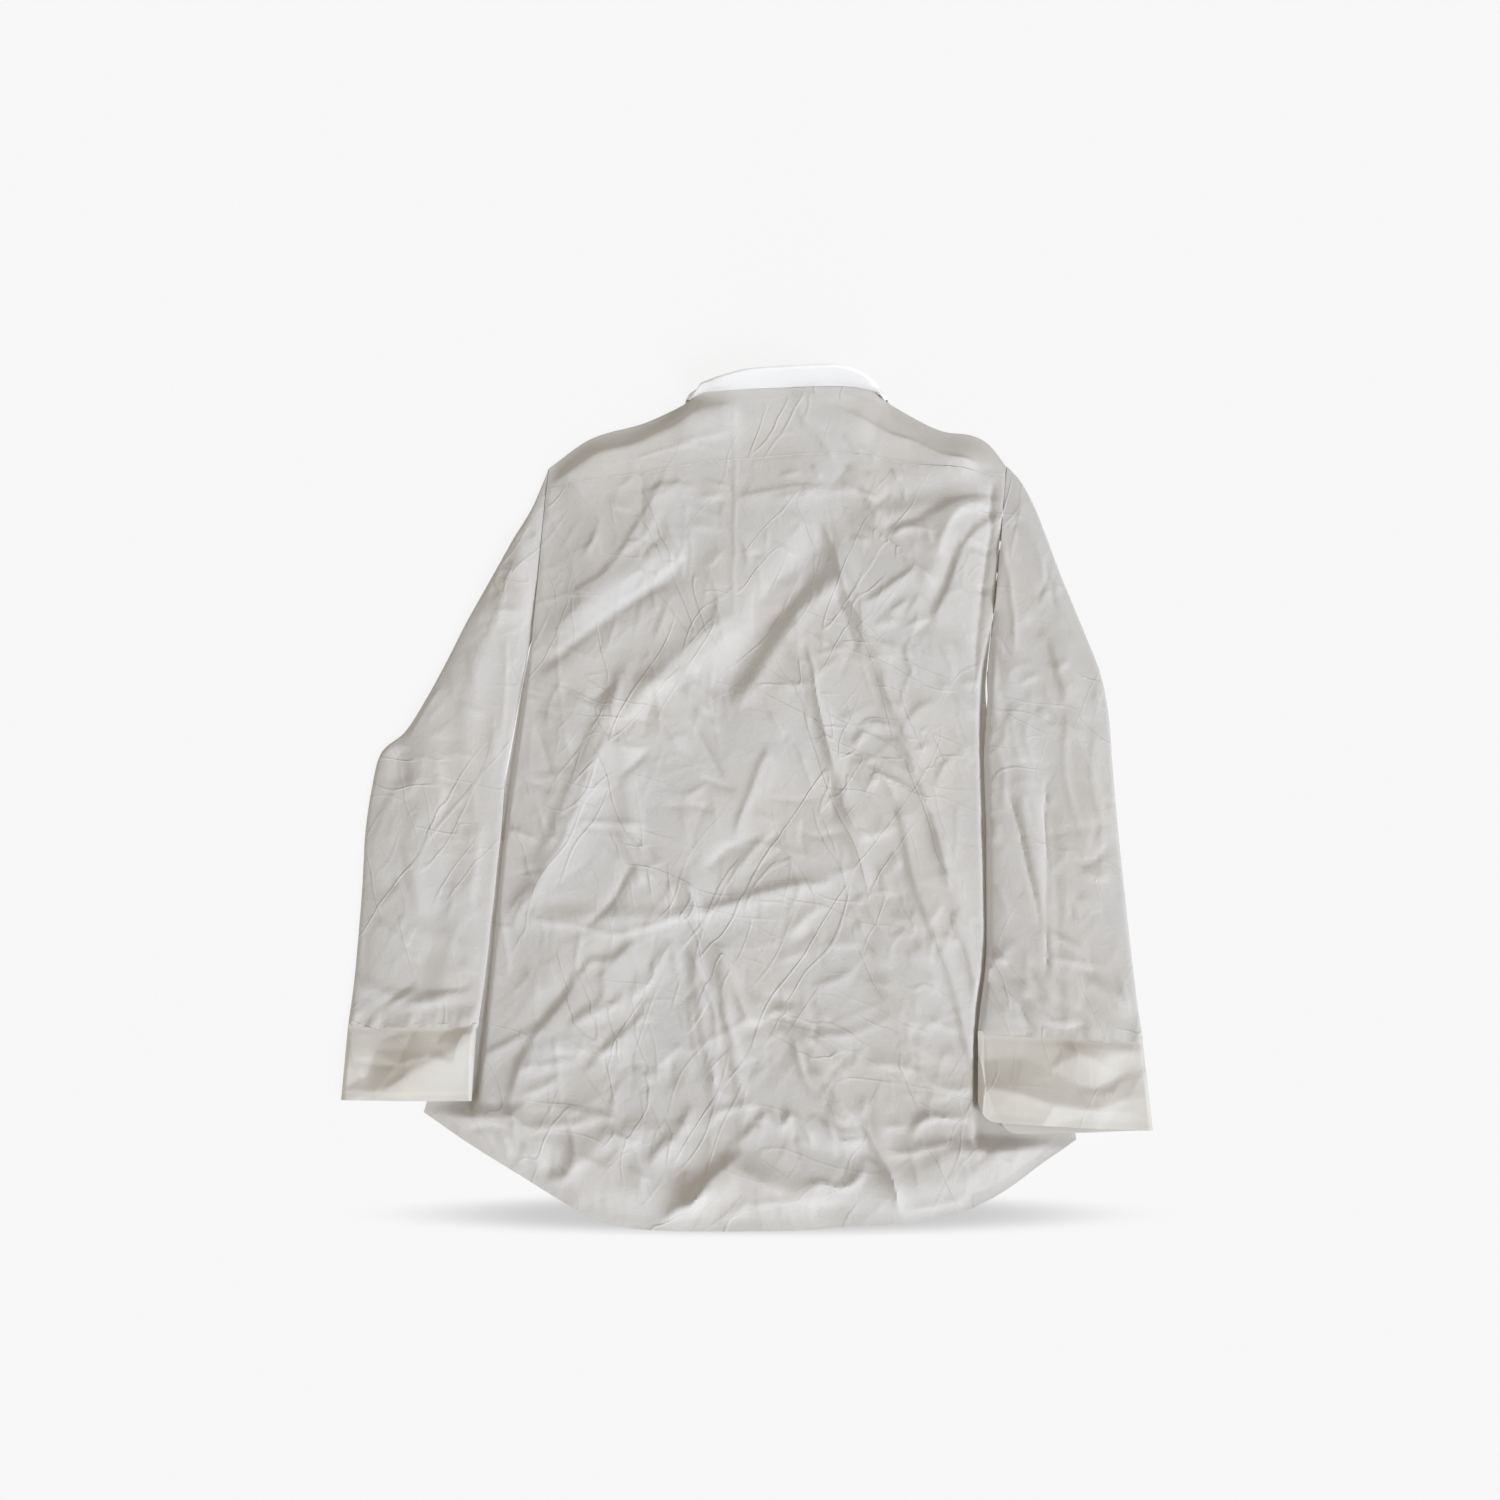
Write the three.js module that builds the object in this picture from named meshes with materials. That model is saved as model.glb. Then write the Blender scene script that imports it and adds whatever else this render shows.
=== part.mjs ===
// A man's long-sleeved dress shirt, crumpled, laid out face down with both sleeves along its sides.
// Millimetres, +Z up. The shirt lies on z = 0, its collar towards +Y, and its back panel is uppermost, so +X is
// the wearer's right. Every cloth piece is a thin closed wall, 0.3 mm or more from its neighbours.

import * as THREE from 'three';

// ---- driving sizes --------------------------------------------------------------------------------------

const CLOTH = 1.0;               // wall of a single cloth panel
const FUSED = 1.4;               // wall of the interlined collar pieces
const CUFF_WALL = 1.6;           // wall of a cuff band
const SEAM_GAP = 0.3;            // between two pieces that are sewn edge to edge
const LAYER_GAP = 0.35;          // between two layers that lie on each other
const BUTTON = { diameter: 11.5, thickness: 2.2, sides: 16 };

const CENTRE_HEM_X = 4;          // the centre line of the body leans from the hem ...
const CENTRE_NECK_X = 43;        // ... to the neck
const HEM_Y = -398.5;
const NECK_Y = 404;              // back neck seam
const PLACKET_WIDTH = 35;
const FRONT_HEM_RISE = 9;        // the fronts are cut a little shorter than the back
const FRONT_NECK_Y = 318;        // lowest point of the front neckline
const YOKE_RETURN = 22;          // how far the yoke comes over the shoulder to the front
const SHOULDER_FOLD = 3.6;       // height of the folded shoulder edge
const NECK_HEIGHT = 8.4;         // height of the back neck seam
const ARMHOLE_HEIGHT = 5.6;      // top of the back at the armhole
const BODY_LOFT = 13;            // typical height of the back above the table
const BUTTON_LIFT = BUTTON.thickness + LAYER_GAP;
const PLACKET_BUTTONS = { first: 262, pitch: 90, count: 6 };
const COLLAR_BUTTON_Y = 334;
const CLOSED_CUFF = {             // the wearer's left: inner and lower edge, width, and how much lies on the body
  inner: -234, head: -231, foot: -295, width: 116, onBody: 46, button: [-247, -264],
};
const OPEN_CUFF = {               // the wearer's right, opened out: its ends, and how far its lower layer shows
  inner: 204, outer: 350, head: [-237, -244], foot: [-312, -320], width: 150, onBody: 84, slip: 11,
  button: [236, -286],
};

const SIDE_TOP = CLOTH + SEAM_GAP + CLOTH;       // top of front and back where they lie flat on each other
const ON_BODY = SIDE_TOP + 2 * LAYER_GAP;        // underside of a sleeve where it lies on the body

// ---- outlines, each a short table of x against y or y against x -----------------------------------------

// Each armhole lies along a straight line from the shoulder point to the armpit.
const LEFT_ARMHOLE = { shoulder: [-198.8, 313], armpit: [-206, 128] };
const RIGHT_ARMHOLE = { shoulder: [264.5, 315], armpit: [232, 95] };
const LEFT_SEAM = [               // side seam of the wearer's left, down from the armpit
  { y: 128, x: -206 }, { y: 100, x: -210.5 }, { y: 70, x: -214.5 }, { y: 30, x: -218.8 }, { y: -10, x: -224 },
  { y: -60, x: -233 }, { y: -170, x: -251 }, { y: -305, x: -277 },
];
const RIGHT_SEAM = [
  { y: 95, x: 232 }, { y: 80, x: 230.2 }, { y: 60, x: 230 }, { y: 30, x: 234 }, { y: 0, x: 241 },
  { y: -60, x: 252 }, { y: -140, x: 262 }, { y: -240, x: 275 }, { y: -327, x: 285 },
];
const LEFT_COVER = [              // the back lies flat outside this line, under the sleeve
  { y: 313, x: -198 }, { y: 128, x: -206 }, { y: 18, x: -214 }, { y: -60, x: -220 }, { y: -204, x: -226 },
  { y: -305, x: -231 },
];
const RIGHT_COVER = [
  { y: 315, x: 265 }, { y: 162, x: 242 }, { y: 95, x: 227 }, { y: 29, x: 221 }, { y: -115, x: 216 },
  { y: -171, x: 213 }, { y: -227, x: 203 }, { y: -327, x: 197 },
];
const HEM = [
  { x: -277, y: -305 }, { x: -241, y: -327 }, { x: -197, y: -352 }, { x: -158, y: -374 }, { x: -119, y: -392 },
  { x: -80, y: HEM_Y }, { x: 50, y: HEM_Y }, { x: 100, y: -395 }, { x: 140, y: -393 }, { x: 181, y: -385 },
  { x: 220, y: -368 }, { x: 259, y: -343 }, { x: 285, y: -327 },
];
const YOKE_SEAM = [
  { x: -200, y: 286 }, { x: -158, y: 291 }, { x: -102, y: 300 }, { x: -47, y: 311 }, { x: 9, y: 317 },
  { x: 64, y: 321 }, { x: 120, y: 321 }, { x: 148, y: 315 }, { x: 203, y: 307 }, { x: 264, y: 302 },
];
const UPPER_EDGE = [              // shoulder slopes with the back neck between them
  { x: -199, y: 312 }, { x: -158, y: 345 }, { x: -102, y: 364 }, { x: -55, y: 389 }, { x: -47, y: 397 },
  { x: -34, y: 402 }, { x: -10, y: 404.5 }, { x: 95, y: 405.5 }, { x: 120, y: 404 }, { x: 132, y: 399 },
  { x: 139, y: 392 }, { x: 176, y: 367 }, { x: 203, y: 353.5 }, { x: 231, y: 349 }, { x: 248, y: 339 },
  { x: 264.5, y: 314 },
];
const FRONT_NECKLINE = [          // x is from the neck centre, the same on both sides
  { x: 0, y: 318 }, { x: 20, y: 318 }, { x: 38, y: 322.4 }, { x: 56, y: 334.2 }, { x: 72, y: 350.6 },
  { x: 84, y: 364.5 }, { x: 98, y: 369 },
];
const NECK_LEFT_X = -55;
const NECK_RIGHT_X = 139;

// ---- folds. Each runs through three points; width is its half width, height is up (+) or down (-) --------

const BODY_FOLDS = [
  { from: [-60, 205], by: [-130, 150], to: [-204, 98], width: 15, height: -5.0 },
  { from: [-64, 228], by: [-128, 181], to: [-192, 128], width: 15, height: 3.2 },
  { from: [92, 256], by: [24, 152], to: [-26, 62], width: 19, height: -5.5 },
  { from: [-6, 150], by: [-58, 98], to: [-118, 52], width: 15, height: 3.6 },
  { from: [262, 284], by: [176, 258], to: [116, 246], width: 14, height: 4.2 },
  { from: [258, 302], by: [178, 282], to: [124, 270], width: 12, height: -2.6 },
  { from: [252, 264], by: [208, 216], to: [184, 160], width: 12, height: -3.4 },
  { from: [232, 262], by: [192, 214], to: [172, 170], width: 12, height: 2.4 },
  { from: [84, 254], by: [126, 107], to: [170, -32], width: 9, height: 3.4 },
  { from: [168, -24], by: [187, -93], to: [206, -224], width: 9, height: 3.0 },
  { from: [30, 148], by: [74, 51], to: [108, -104], width: 8, height: 2.8 },
  { from: [-112, 98], by: [-158, -22], to: [-198, -130], width: 8, height: 3.2 },
  { from: [-198, -140], by: [-48, -138], to: [92, -99], width: 8, height: 2.4 },
  { from: [-64, -100], by: [-30, -170], to: [10, -240], width: 8, height: 3.2 },
  { from: [-112, 20], by: [-104, -60], to: [-76, -122], width: 9, height: 2.4 },
  { from: [-46, -168], by: [-36, -235], to: [-24, -300], width: 6, height: 3.0 },
  { from: [-22, -172], by: [-14, -236], to: [0, -302], width: 6, height: 2.8 },
  { from: [40, -222], by: [68, -275], to: [94, -324], width: 8, height: 3.8 },
  { from: [118, -212], by: [150, -250], to: [184, -262], width: 9, height: 2.6 },
  { from: [-206, -262], by: [-170, -214], to: [-108, -160], width: 12, height: -3.0 },
  { from: [-232, -300], by: [-186, -318], to: [-118, -352], width: 10, height: 3.6 },
  { from: [-136, -330], by: [-84, -316], to: [-46, -338], width: 10, height: 3.2 },
  { from: [-72, -392], by: [-6, -352], to: [70, -376], width: 11, height: 5.0 },
  { from: [22, -318], by: [74, -338], to: [128, -346], width: 10, height: -3.4 },
  { from: [112, -300], by: [118, -345], to: [136, -390], width: 8, height: 3.6 },
  { from: [150, -352], by: [186, -330], to: [226, -338], width: 10, height: 2.8 },
];
const SLEEVE_FOLDS = [
  { from: [250, 120], by: [258, 20], to: [266, -90], width: 9, height: 2.2 },
  { from: [248, -20], by: [262, -100], to: [272, -190], width: 7, height: 2.8 },
  { from: [282, -6], by: [280, -120], to: [276, -226], width: 7, height: -2.6 },
  { from: [304, 140], by: [314, 20], to: [318, -110], width: 11, height: 2.4 },
  { from: [232, -196], by: [262, -214], to: [290, -232], width: 7, height: 3.2 },
  { from: [300, -190], by: [322, -206], to: [344, -214], width: 7, height: 2.6 },
  { from: [262, 300], by: [276, 268], to: [292, 216], width: 9, height: 2.0 },
  { from: [-322, 20], by: [-322, 2], to: [-324, -18], width: 10, height: -3.6 },
  { from: [-244, 160], by: [-262, 60], to: [-256, -60], width: 11, height: 2.4 },
  { from: [-300, 60], by: [-292, -40], to: [-302, -150], width: 13, height: 2.4 },
  { from: [-342, -196], by: [-294, -214], to: [-244, -204], width: 7, height: 3.4 },
  { from: [-338, -120], by: [-300, -150], to: [-262, -160], width: 9, height: 2.2 },
];

// ---- sleeves, a row for each section: inner and outer edge, lift off the table, loft of the tube --------

const LEFT_SLEEVE = [
  { in: [-206.6, 127.6], out: [-199.4, 312], lift: 0, loft: 2.0 },
  { in: [-208.4, 123], out: [-206, 291], lift: 0, loft: 2.6 },
  { in: [-209.8, 117], out: [-215, 266], lift: 0, loft: 3.4 },
  { in: [-211.4, 110], out: [-229, 238], lift: 0, loft: 4.6 },
  { in: [-213.0, 101], out: [-244, 206], lift: 0, loft: 5.6 },
  { in: [-214.8, 90], out: [-258, 176], lift: 0, loft: 6.4 },
  { in: [-216.8, 76], out: [-273, 143], lift: 0.2, loft: 7.0 },
  { in: [-219.0, 58], out: [-288, 106], lift: 0.9, loft: 7.4 },
  { in: [-221.2, 37], out: [-304, 70], lift: 1.8, loft: 7.4 },
  { in: [-223.0, 14], out: [-322, 36], lift: 2.6, loft: 7.2 },
  { in: [-223.8, -8], out: [-343, 15], lift: ON_BODY, loft: 7.0 },
  { in: [-224.2, -30], out: [-349, -21], lift: ON_BODY, loft: 7.2 },
  { in: [-224.5, -60], out: [-351, -60], lift: ON_BODY, loft: 7.6 },
  { in: [-226, -88], out: [-350, -88], lift: ON_BODY, loft: 7.6 },
  { in: [-227, -115], out: [-349, -115], lift: ON_BODY, loft: 7.4 },
  { in: [-228.5, -142], out: [-348.6, -142], lift: ON_BODY, loft: 7.2 },
  { in: [-229.6, -168], out: [-348.4, -168], lift: 3.4, loft: 7.0 },
  { in: [-230.6, -190], out: [-348.4, -190], lift: 4.2, loft: 7.0 },
  { in: [-232, -210], out: [-349, -210], lift: 5.0, loft: 6.4 },
  { in: [-233.6, -230.5], out: [-350, -230.5], lift: 5.3, loft: 4.0 },
];
const RIGHT_SLEEVE = [
  { in: [233.4, 94.2], out: [265.0, 314], lift: 0, loft: 2.0 },
  { in: [232.9, 88], out: [276, 300], lift: 0.7, loft: 2.8 },
  { in: [232.4, 80], out: [284, 284], lift: 1.6, loft: 3.6 },
  { in: [231.9, 70], out: [292, 262], lift: ON_BODY, loft: 4.8 },
  { in: [230.6, 58], out: [300, 234], lift: ON_BODY, loft: 5.8 },
  { in: [229.0, 45], out: [309, 201], lift: ON_BODY, loft: 6.6 },
  { in: [227.0, 30], out: [320, 165], lift: ON_BODY, loft: 7.2 },
  { in: [225.2, 14], out: [331, 129], lift: ON_BODY, loft: 7.6 },
  { in: [224.4, -2], out: [341, 94], lift: ON_BODY, loft: 7.6 },
  { in: [224.0, -26], out: [345.5, 54], lift: ON_BODY, loft: 7.4 },
  { in: [223.4, -50], out: [345, 8], lift: ON_BODY, loft: 7.4 },
  { in: [222, -78], out: [344.6, -38], lift: ON_BODY, loft: 7.6 },
  { in: [220.5, -106], out: [345, -84], lift: ON_BODY, loft: 7.6 },
  { in: [219, -134], out: [345.6, -124], lift: ON_BODY, loft: 7.4 },
  { in: [217.4, -162], out: [346.2, -158], lift: 3.2, loft: 7.2 },
  { in: [214, -188], out: [347, -188], lift: 4.0, loft: 7.2 },
  { in: [209.5, -212], out: [348, -216], lift: 4.8, loft: 6.6 },
  { in: [205.6, -236.5], out: [349.6, -243.5], lift: 5.3, loft: 4.2 },
];

// ---- collar, a row for each section from the point of one leaf round the back neck to the other ---------
// neck = seam to the body, fold = top of the collar, leaf = free edge of the fall. x is from the neck centre.

const COLLAR_BACK = [
  { neck: [-94, 401, 5.2], fold: [-98, 398, 11], leaf: [-103, 391.5, 5.6] },
  { neck: [-88, 402, 7.6], fold: [-91, 396, 18], leaf: [-94.5, 392.6, 8.2] },
  { neck: [-80, 402.5, 9.2], fold: [-82, 395.5, 26], leaf: [-84, 395, 9.4] },
  { neck: [-66, 402.6, 9.2], fold: [-68, 395, 34], leaf: [-70, 396, 9.8] },
  { neck: [-38, 403.4, 9.2], fold: [-40, 396, 41], leaf: [-41, 398, 10] },
  { neck: [-6, 403.8, 9.2], fold: [-6, 396.5, 44.5], leaf: [-6, 399.6, 10] },
  { neck: [26, 404, 9.2], fold: [26, 397, 46.5], leaf: [27, 401, 10] },
  { neck: [52, 404, 9.2], fold: [53, 397.5, 45], leaf: [54, 401.4, 10] },
  { neck: [72, 403.2, 9.2], fold: [75, 398, 38], leaf: [77, 399, 9.8] },
  { neck: [84, 402.5, 9.0], fold: [90, 398, 27], leaf: [95, 395, 9.2] },
  { neck: [90.5, 402.5, 7.2], fold: [98, 398.5, 16], leaf: [103, 393.5, 6.8] },
];
const COLLAR_FRONT = [            // from the side of the neck to the centre front, the same on both sides
  { neck: [95, 400, 4.6], fold: [101, 402.5, 8], leaf: [106.5, 394.5, 3.4] },
  { neck: [95, 395, 2.6], fold: [96, 408, 2.4], leaf: [108.5, 388, 0] },
  { neck: [93.6, 385, 2.2], fold: [86, 406, 0.8], leaf: [107, 373, 0] },
  { neck: [86, 371, 2.2], fold: [72, 395, 0], leaf: [102, 357, 0] },
  { neck: [72, 353.6, 2.2], fold: [57, 379, 0], leaf: [95, 337, 0] },
  { neck: [56, 337, 2.2], fold: [43, 365, 0], leaf: [84, 313, 0] },
  { neck: [38, 325.2, 2.2], fold: [29, 355, 0], leaf: [71, 294, 0] },
  { neck: [22, 319.2, 2.2], fold: [15, 349, 0], leaf: [56, 280, 0] },
];
const STAND_BELOW_FOLD = 2.6;     // the fold stands this much higher than the stand inside it
const TURN_ROOM = 5;             // more room between fall and stand where the collar turns sharply
const STAND_END = 12;             // the ends of the stand pass the centre front by this much
const STAND_OVER_BUTTON = 2.6;    // underside of the lower end, which the collar button lies under

// ---- small helpers --------------------------------------------------------------------------------------

const lerp = THREE.MathUtils.lerp;
const clamp = THREE.MathUtils.clamp;
const smooth = (t) => THREE.MathUtils.smoothstep(t, 0, 1);

// A smooth curve through a table's rows, read as one column against another.
function along(table, from, to) {
  const rows = [...table].sort((a, b) => a[from] - b[from]);
  const slope = rows.map((row, i) => {
    const a = rows[Math.max(i - 1, 0)];
    const b = rows[Math.min(i + 1, rows.length - 1)];
    return (b[to] - a[to]) / (b[from] - a[from]);
  });
  return (at) => {
    let i = 0;
    while (i < rows.length - 2 && at > rows[i + 1][from]) i += 1;
    const a = rows[i];
    const b = rows[i + 1];
    const span = b[from] - a[from];
    const t = clamp((at - a[from]) / span, 0, 1);
    const t2 = t * t;
    const t3 = t2 * t;
    return (2 * t3 - 3 * t2 + 1) * a[to] + (t3 - 2 * t2 + t) * span * slope[i]
      + (3 * t2 - 2 * t3) * b[to] + (t3 - t2) * span * slope[i + 1];
  };
}

const neckline = along(FRONT_NECKLINE, 'x', 'y');

// x of a body's side at a height y: the straight armhole above the armpit, the side seam below it.
function sideOf(armhole, seamTable) {
  const seam = along(seamTable, 'y', 'x');
  const [shoulderX, shoulderY] = armhole.shoulder;
  const [armpitX, armpitY] = armhole.armpit;
  return (y) => (y < armpitY ? seam(y) : lerp(armpitX, shoulderX, (y - armpitY) / (shoulderY - armpitY)));
}

const leftEdge = sideOf(LEFT_ARMHOLE, LEFT_SEAM);
const rightEdge = sideOf(RIGHT_ARMHOLE, RIGHT_SEAM);
const leftCover = along(LEFT_COVER, 'y', 'x');
const rightCover = along(RIGHT_COVER, 'y', 'x');
const hemLine = along(HEM, 'x', 'y');
const yokeSeam = along(YOKE_SEAM, 'x', 'y');
const upperEdge = along(UPPER_EDGE, 'x', 'y');
const centreX = (y) => lerp(CENTRE_HEM_X, CENTRE_NECK_X, (y - HEM_Y) / (NECK_Y - HEM_Y));

function distanceToSegment(x, y, a, b) {
  const dx = b[0] - a[0];
  const dy = b[1] - a[1];
  const t = clamp(((x - a[0]) * dx + (y - a[1]) * dy) / (dx * dx + dy * dy), 0, 1);
  return { d: Math.hypot(x - a[0] - t * dx, y - a[1] - t * dy), t };
}

// Sum of the folds at a point: a bell across each fold that dies away towards both of its ends.
function foldHeight(folds, x, y) {
  let sum = 0;
  for (const fold of folds) {
    const first = distanceToSegment(x, y, fold.from, fold.by);
    const second = distanceToSegment(x, y, fold.by, fold.to);
    const near = first.d < second.d ? first : second;
    const run = first.d < second.d ? first.t / 2 : 0.5 + second.t / 2;
    const taper = Math.min(1, 0.35 + 4 * Math.min(run, 1 - run));
    sum += fold.height * taper * Math.exp(-((near.d / fold.width) ** 2));
  }
  return sum;
}

const REST = 0.5;                 // how softly a valley of the back comes to rest on the fronts
const SIDE_RAMP = 42;             // widths over which the back rises from its sides, its shoulders, neck and hem
const SHOULDER_RAMP = 48;
const NECK_RAMP = 34;
const HEM_RAMP = 34;

// Height of the upper side of the yoke and back. It is flat under the sleeves and falls to the hem and shoulders.
function bodyTop(x, y) {
  const armhole = smooth((y - 90) / 60);
  const sideHeight = lerp(SIDE_TOP, ARMHOLE_HEIGHT, armhole);
  const inLeft = smooth((x - leftCover(y)) / SIDE_RAMP);
  const inRight = smooth((rightCover(y) - x) / SIDE_RAMP);
  const neck = smooth((x - NECK_LEFT_X + 14) / 28) * smooth((NECK_RIGHT_X + 14 - x) / 28);
  const upper = smooth((upperEdge(x) - y) / lerp(SHOULDER_RAMP, NECK_RAMP, neck));
  const lower = smooth((y - hemLine(x)) / HEM_RAMP);
  const sides = inLeft * inRight;
  const swell = 1.1 * Math.sin(x / 41 + 0.6) * Math.sin(y / 47 + 1.1) + 0.8 * Math.sin(x / 23 - y / 31 + 2);
  const crown = BODY_LOFT + swell;
  const hemWave = 1.6 + 1.5 * Math.sin(x / 19 + 0.7) * Math.sin(x / 47 + 0.2);
  const hemHeight = SIDE_TOP + 0.2 + hemWave * sides;
  const edgeHeight = lerp(SHOULDER_FOLD, NECK_HEIGHT, neck);
  const across = lerp(sideHeight, crown, sides);
  const toHem = lerp(hemHeight, across, lower);
  const toShoulder = lerp(edgeHeight, toHem, upper);
  const folded = foldHeight(BODY_FOLDS, x, y) * sides * upper * Math.max(lower, 0.35);
  const least = lerp(SIDE_TOP, frontsTop(x, y) + SEAM_GAP + CLOTH + 0.6, sides * upper);
  const spare = toShoulder + folded - least;
  return least + (spare > 4 * REST ? spare : REST * Math.log(1 + Math.exp(spare / REST)));
}

// Adds one triangle fan or quad to an index list.
const quad = (index, a, b, c, d) => index.push(a, b, c, a, c, d);

function geometryFrom(points, index) {
  const geometry = new THREE.BufferGeometry();
  geometry.setAttribute('position', new THREE.Float32BufferAttribute(points.flatMap((p) => [p.x, p.y, p.z]), 3));
  geometry.setIndex(index);
  geometry.computeVertexNormals();
  return geometry;
}

// A closed wall: the grid's points are its outer side and the inner side lies one thickness behind them.
// The outer side faces the way that rows and then columns turn. keep(i, j) leaves cells of the grid out.
function wall(grid, thickness, keep = () => true) {
  const rows = grid.length;
  const columns = grid[0].length;
  const outer = grid.flat();
  const at = (i, j) => grid[clamp(i, 0, rows - 1)][clamp(j, 0, columns - 1)];
  const inner = [];
  for (let i = 0; i < rows; i += 1) {
    for (let j = 0; j < columns; j += 1) {
      const down = at(i + 1, j).clone().sub(at(i - 1, j));
      const over = at(i, j + 1).clone().sub(at(i, j - 1));
      const normal = down.cross(over).normalize();
      inner.push(grid[i][j].clone().addScaledVector(normal, -thickness));
    }
  }
  const index = [];
  const edges = new Map();
  for (let i = 0; i < rows - 1; i += 1) {
    for (let j = 0; j < columns - 1; j += 1) {
      if (!keep(i, j)) continue;
      const corners = [i * columns + j, (i + 1) * columns + j, (i + 1) * columns + j + 1, i * columns + j + 1];
      quad(index, ...corners);
      quad(index, ...corners.map((k) => k + outer.length).reverse());
      corners.forEach((k, side) => edges.set(`${k},${corners[(side + 1) % 4]}`, [k, corners[(side + 1) % 4]]));
    }
  }
  for (const [a, b] of edges.values()) {
    if (!edges.has(`${b},${a}`)) quad(index, b, a, a + outer.length, b + outer.length);
  }
  return geometryFrom(...compact([...outer, ...inner], index));
}

// Leaves out the points that no face uses.
function compact(points, index) {
  const used = [...new Set(index)].sort((a, b) => a - b);
  const place = new Map(used.map((k, i) => [k, i]));
  return [used.map((k) => points[k]), index.map((k) => place.get(k))];
}

// A closed tube wall open at both ends, from a list of outer rings and the matching inner rings.
function tube(outerRings, innerRings) {
  const count = outerRings[0].length;
  const points = [...outerRings.flat(), ...innerRings.flat()];
  const inside = outerRings.length * count;
  const index = [];
  for (let i = 0; i < outerRings.length - 1; i += 1) {
    for (let j = 0; j < count; j += 1) {
      const a = i * count + j;
      const b = i * count + ((j + 1) % count);
      quad(index, a, a + count, b + count, b);
      quad(index, inside + b, inside + b + count, inside + a + count, inside + a);
    }
  }
  const last = (outerRings.length - 1) * count;
  for (let j = 0; j < count; j += 1) {
    const k = (j + 1) % count;
    quad(index, j, k, inside + k, inside + j);
    quad(index, last + k, last + j, inside + last + j, inside + last + k);
  }
  return geometryFrom(points, index);
}

// Makes sure that a wall's faces point out of the solid, whichever way its rows ran.
function outward(geometry) {
  const position = geometry.getAttribute('position');
  const index = geometry.getIndex();
  const [a, b, c] = [new THREE.Vector3(), new THREE.Vector3(), new THREE.Vector3()];
  let volume = 0;
  for (let i = 0; i < index.count; i += 3) {
    [a, b, c].forEach((v, k) => v.fromBufferAttribute(position, index.getX(i + k)));
    volume += a.dot(b.clone().cross(c));
  }
  if (volume < 0) {
    for (let i = 0; i < index.count; i += 3) {
      const keep = index.getX(i + 1);
      index.setX(i + 1, index.getX(i + 2));
      index.setX(i + 2, keep);
    }
    geometry.computeVertexNormals();
  }
  return geometry;
}

// Places on a panel: share across from its left to its right side, share up from its lower to its upper edge.
function panelPoint(across, up, leftAt, rightAt, lowerAt, upperAt) {
  let x = 0;
  let y = lerp(HEM_Y, YOKE_SEAM[4].y, up);
  for (let pass = 0; pass < 12; pass += 1) {
    x = lerp(leftAt(y), rightAt(y), across);
    y = lerp(lowerAt(x), upperAt(x), up);
  }
  return new THREE.Vector2(x, y);
}

const steps = (count) => Array.from({ length: count + 1 }, (unused, i) => i / count);

// ---- back and yoke --------------------------------------------------------------------------------------

const BACK_ROWS = 36;
const YOKE_SHOULDER_COLUMNS = 10;
const YOKE_NECK_COLUMNS = 13;
const SHOULDER_LEFT_X = UPPER_EDGE[0].x;
const SHOULDER_RIGHT_X = UPPER_EDGE.at(-1).x;
const YOKE_COLUMNS = [            // x of the columns that the yoke and the back share at their seam
  ...steps(YOKE_SHOULDER_COLUMNS).map((t) => lerp(SHOULDER_LEFT_X, NECK_LEFT_X, t)),
  ...steps(YOKE_NECK_COLUMNS).slice(1).map((t) => lerp(NECK_LEFT_X, NECK_RIGHT_X, t)),
  ...steps(YOKE_SHOULDER_COLUMNS).slice(1).map((t) => lerp(NECK_RIGHT_X, SHOULDER_RIGHT_X, t)),
];

function backPanel() {
  const shares = YOKE_COLUMNS.map((x) => {
    const y = yokeSeam(x);
    return clamp((x - leftEdge(y)) / (rightEdge(y) - leftEdge(y)), 0, 1);
  });
  shares[0] = 0;
  shares[shares.length - 1] = 1;
  const grid = steps(BACK_ROWS).map((up) => shares.map((across) => {
    const p = panelPoint(across, up, leftEdge, rightEdge, hemLine, (x) => yokeSeam(x) - SEAM_GAP / 2);
    return new THREE.Vector3(p.x, p.y, bodyTop(p.x, p.y));
  }));
  return wall(grid.reverse(), CLOTH);
}

const YOKE_TOP_ROWS = 5;
const YOKE_ARC = [0.3, 0.5, 0.7, 1];          // share of the half turn over the shoulder edge

// The front layers are raised where the collar's leaf lies under them.
function collarLift(x, y) {
  const fromCentre = Math.abs(x - CENTRE_NECK_X);
  return (FUSED + LAYER_GAP + 0.25) * smooth((y - 212) / 32) * smooth((150 - fromCentre) / 30);
}

// Seam of the yoke to a front: straight from the shoulder point to the neck.
function yokeFrontSeam(x) {
  const left = x < CENTRE_NECK_X;
  const [shoulderX, neckX] = left ? [SHOULDER_LEFT_X, NECK_LEFT_X] : [SHOULDER_RIGHT_X, NECK_RIGHT_X];
  return lerp(upperEdge(shoulderX), upperEdge(neckX), (x - shoulderX) / (neckX - shoulderX)) - YOKE_RETURN;
}

// Height at which the front seam meets the armhole.
function endSeam(edge) {
  let y = yokeFrontSeam(edge(FRONT_NECK_Y));
  for (let pass = 0; pass < 6; pass += 1) y = yokeFrontSeam(edge(y));
  return y;
}

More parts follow.
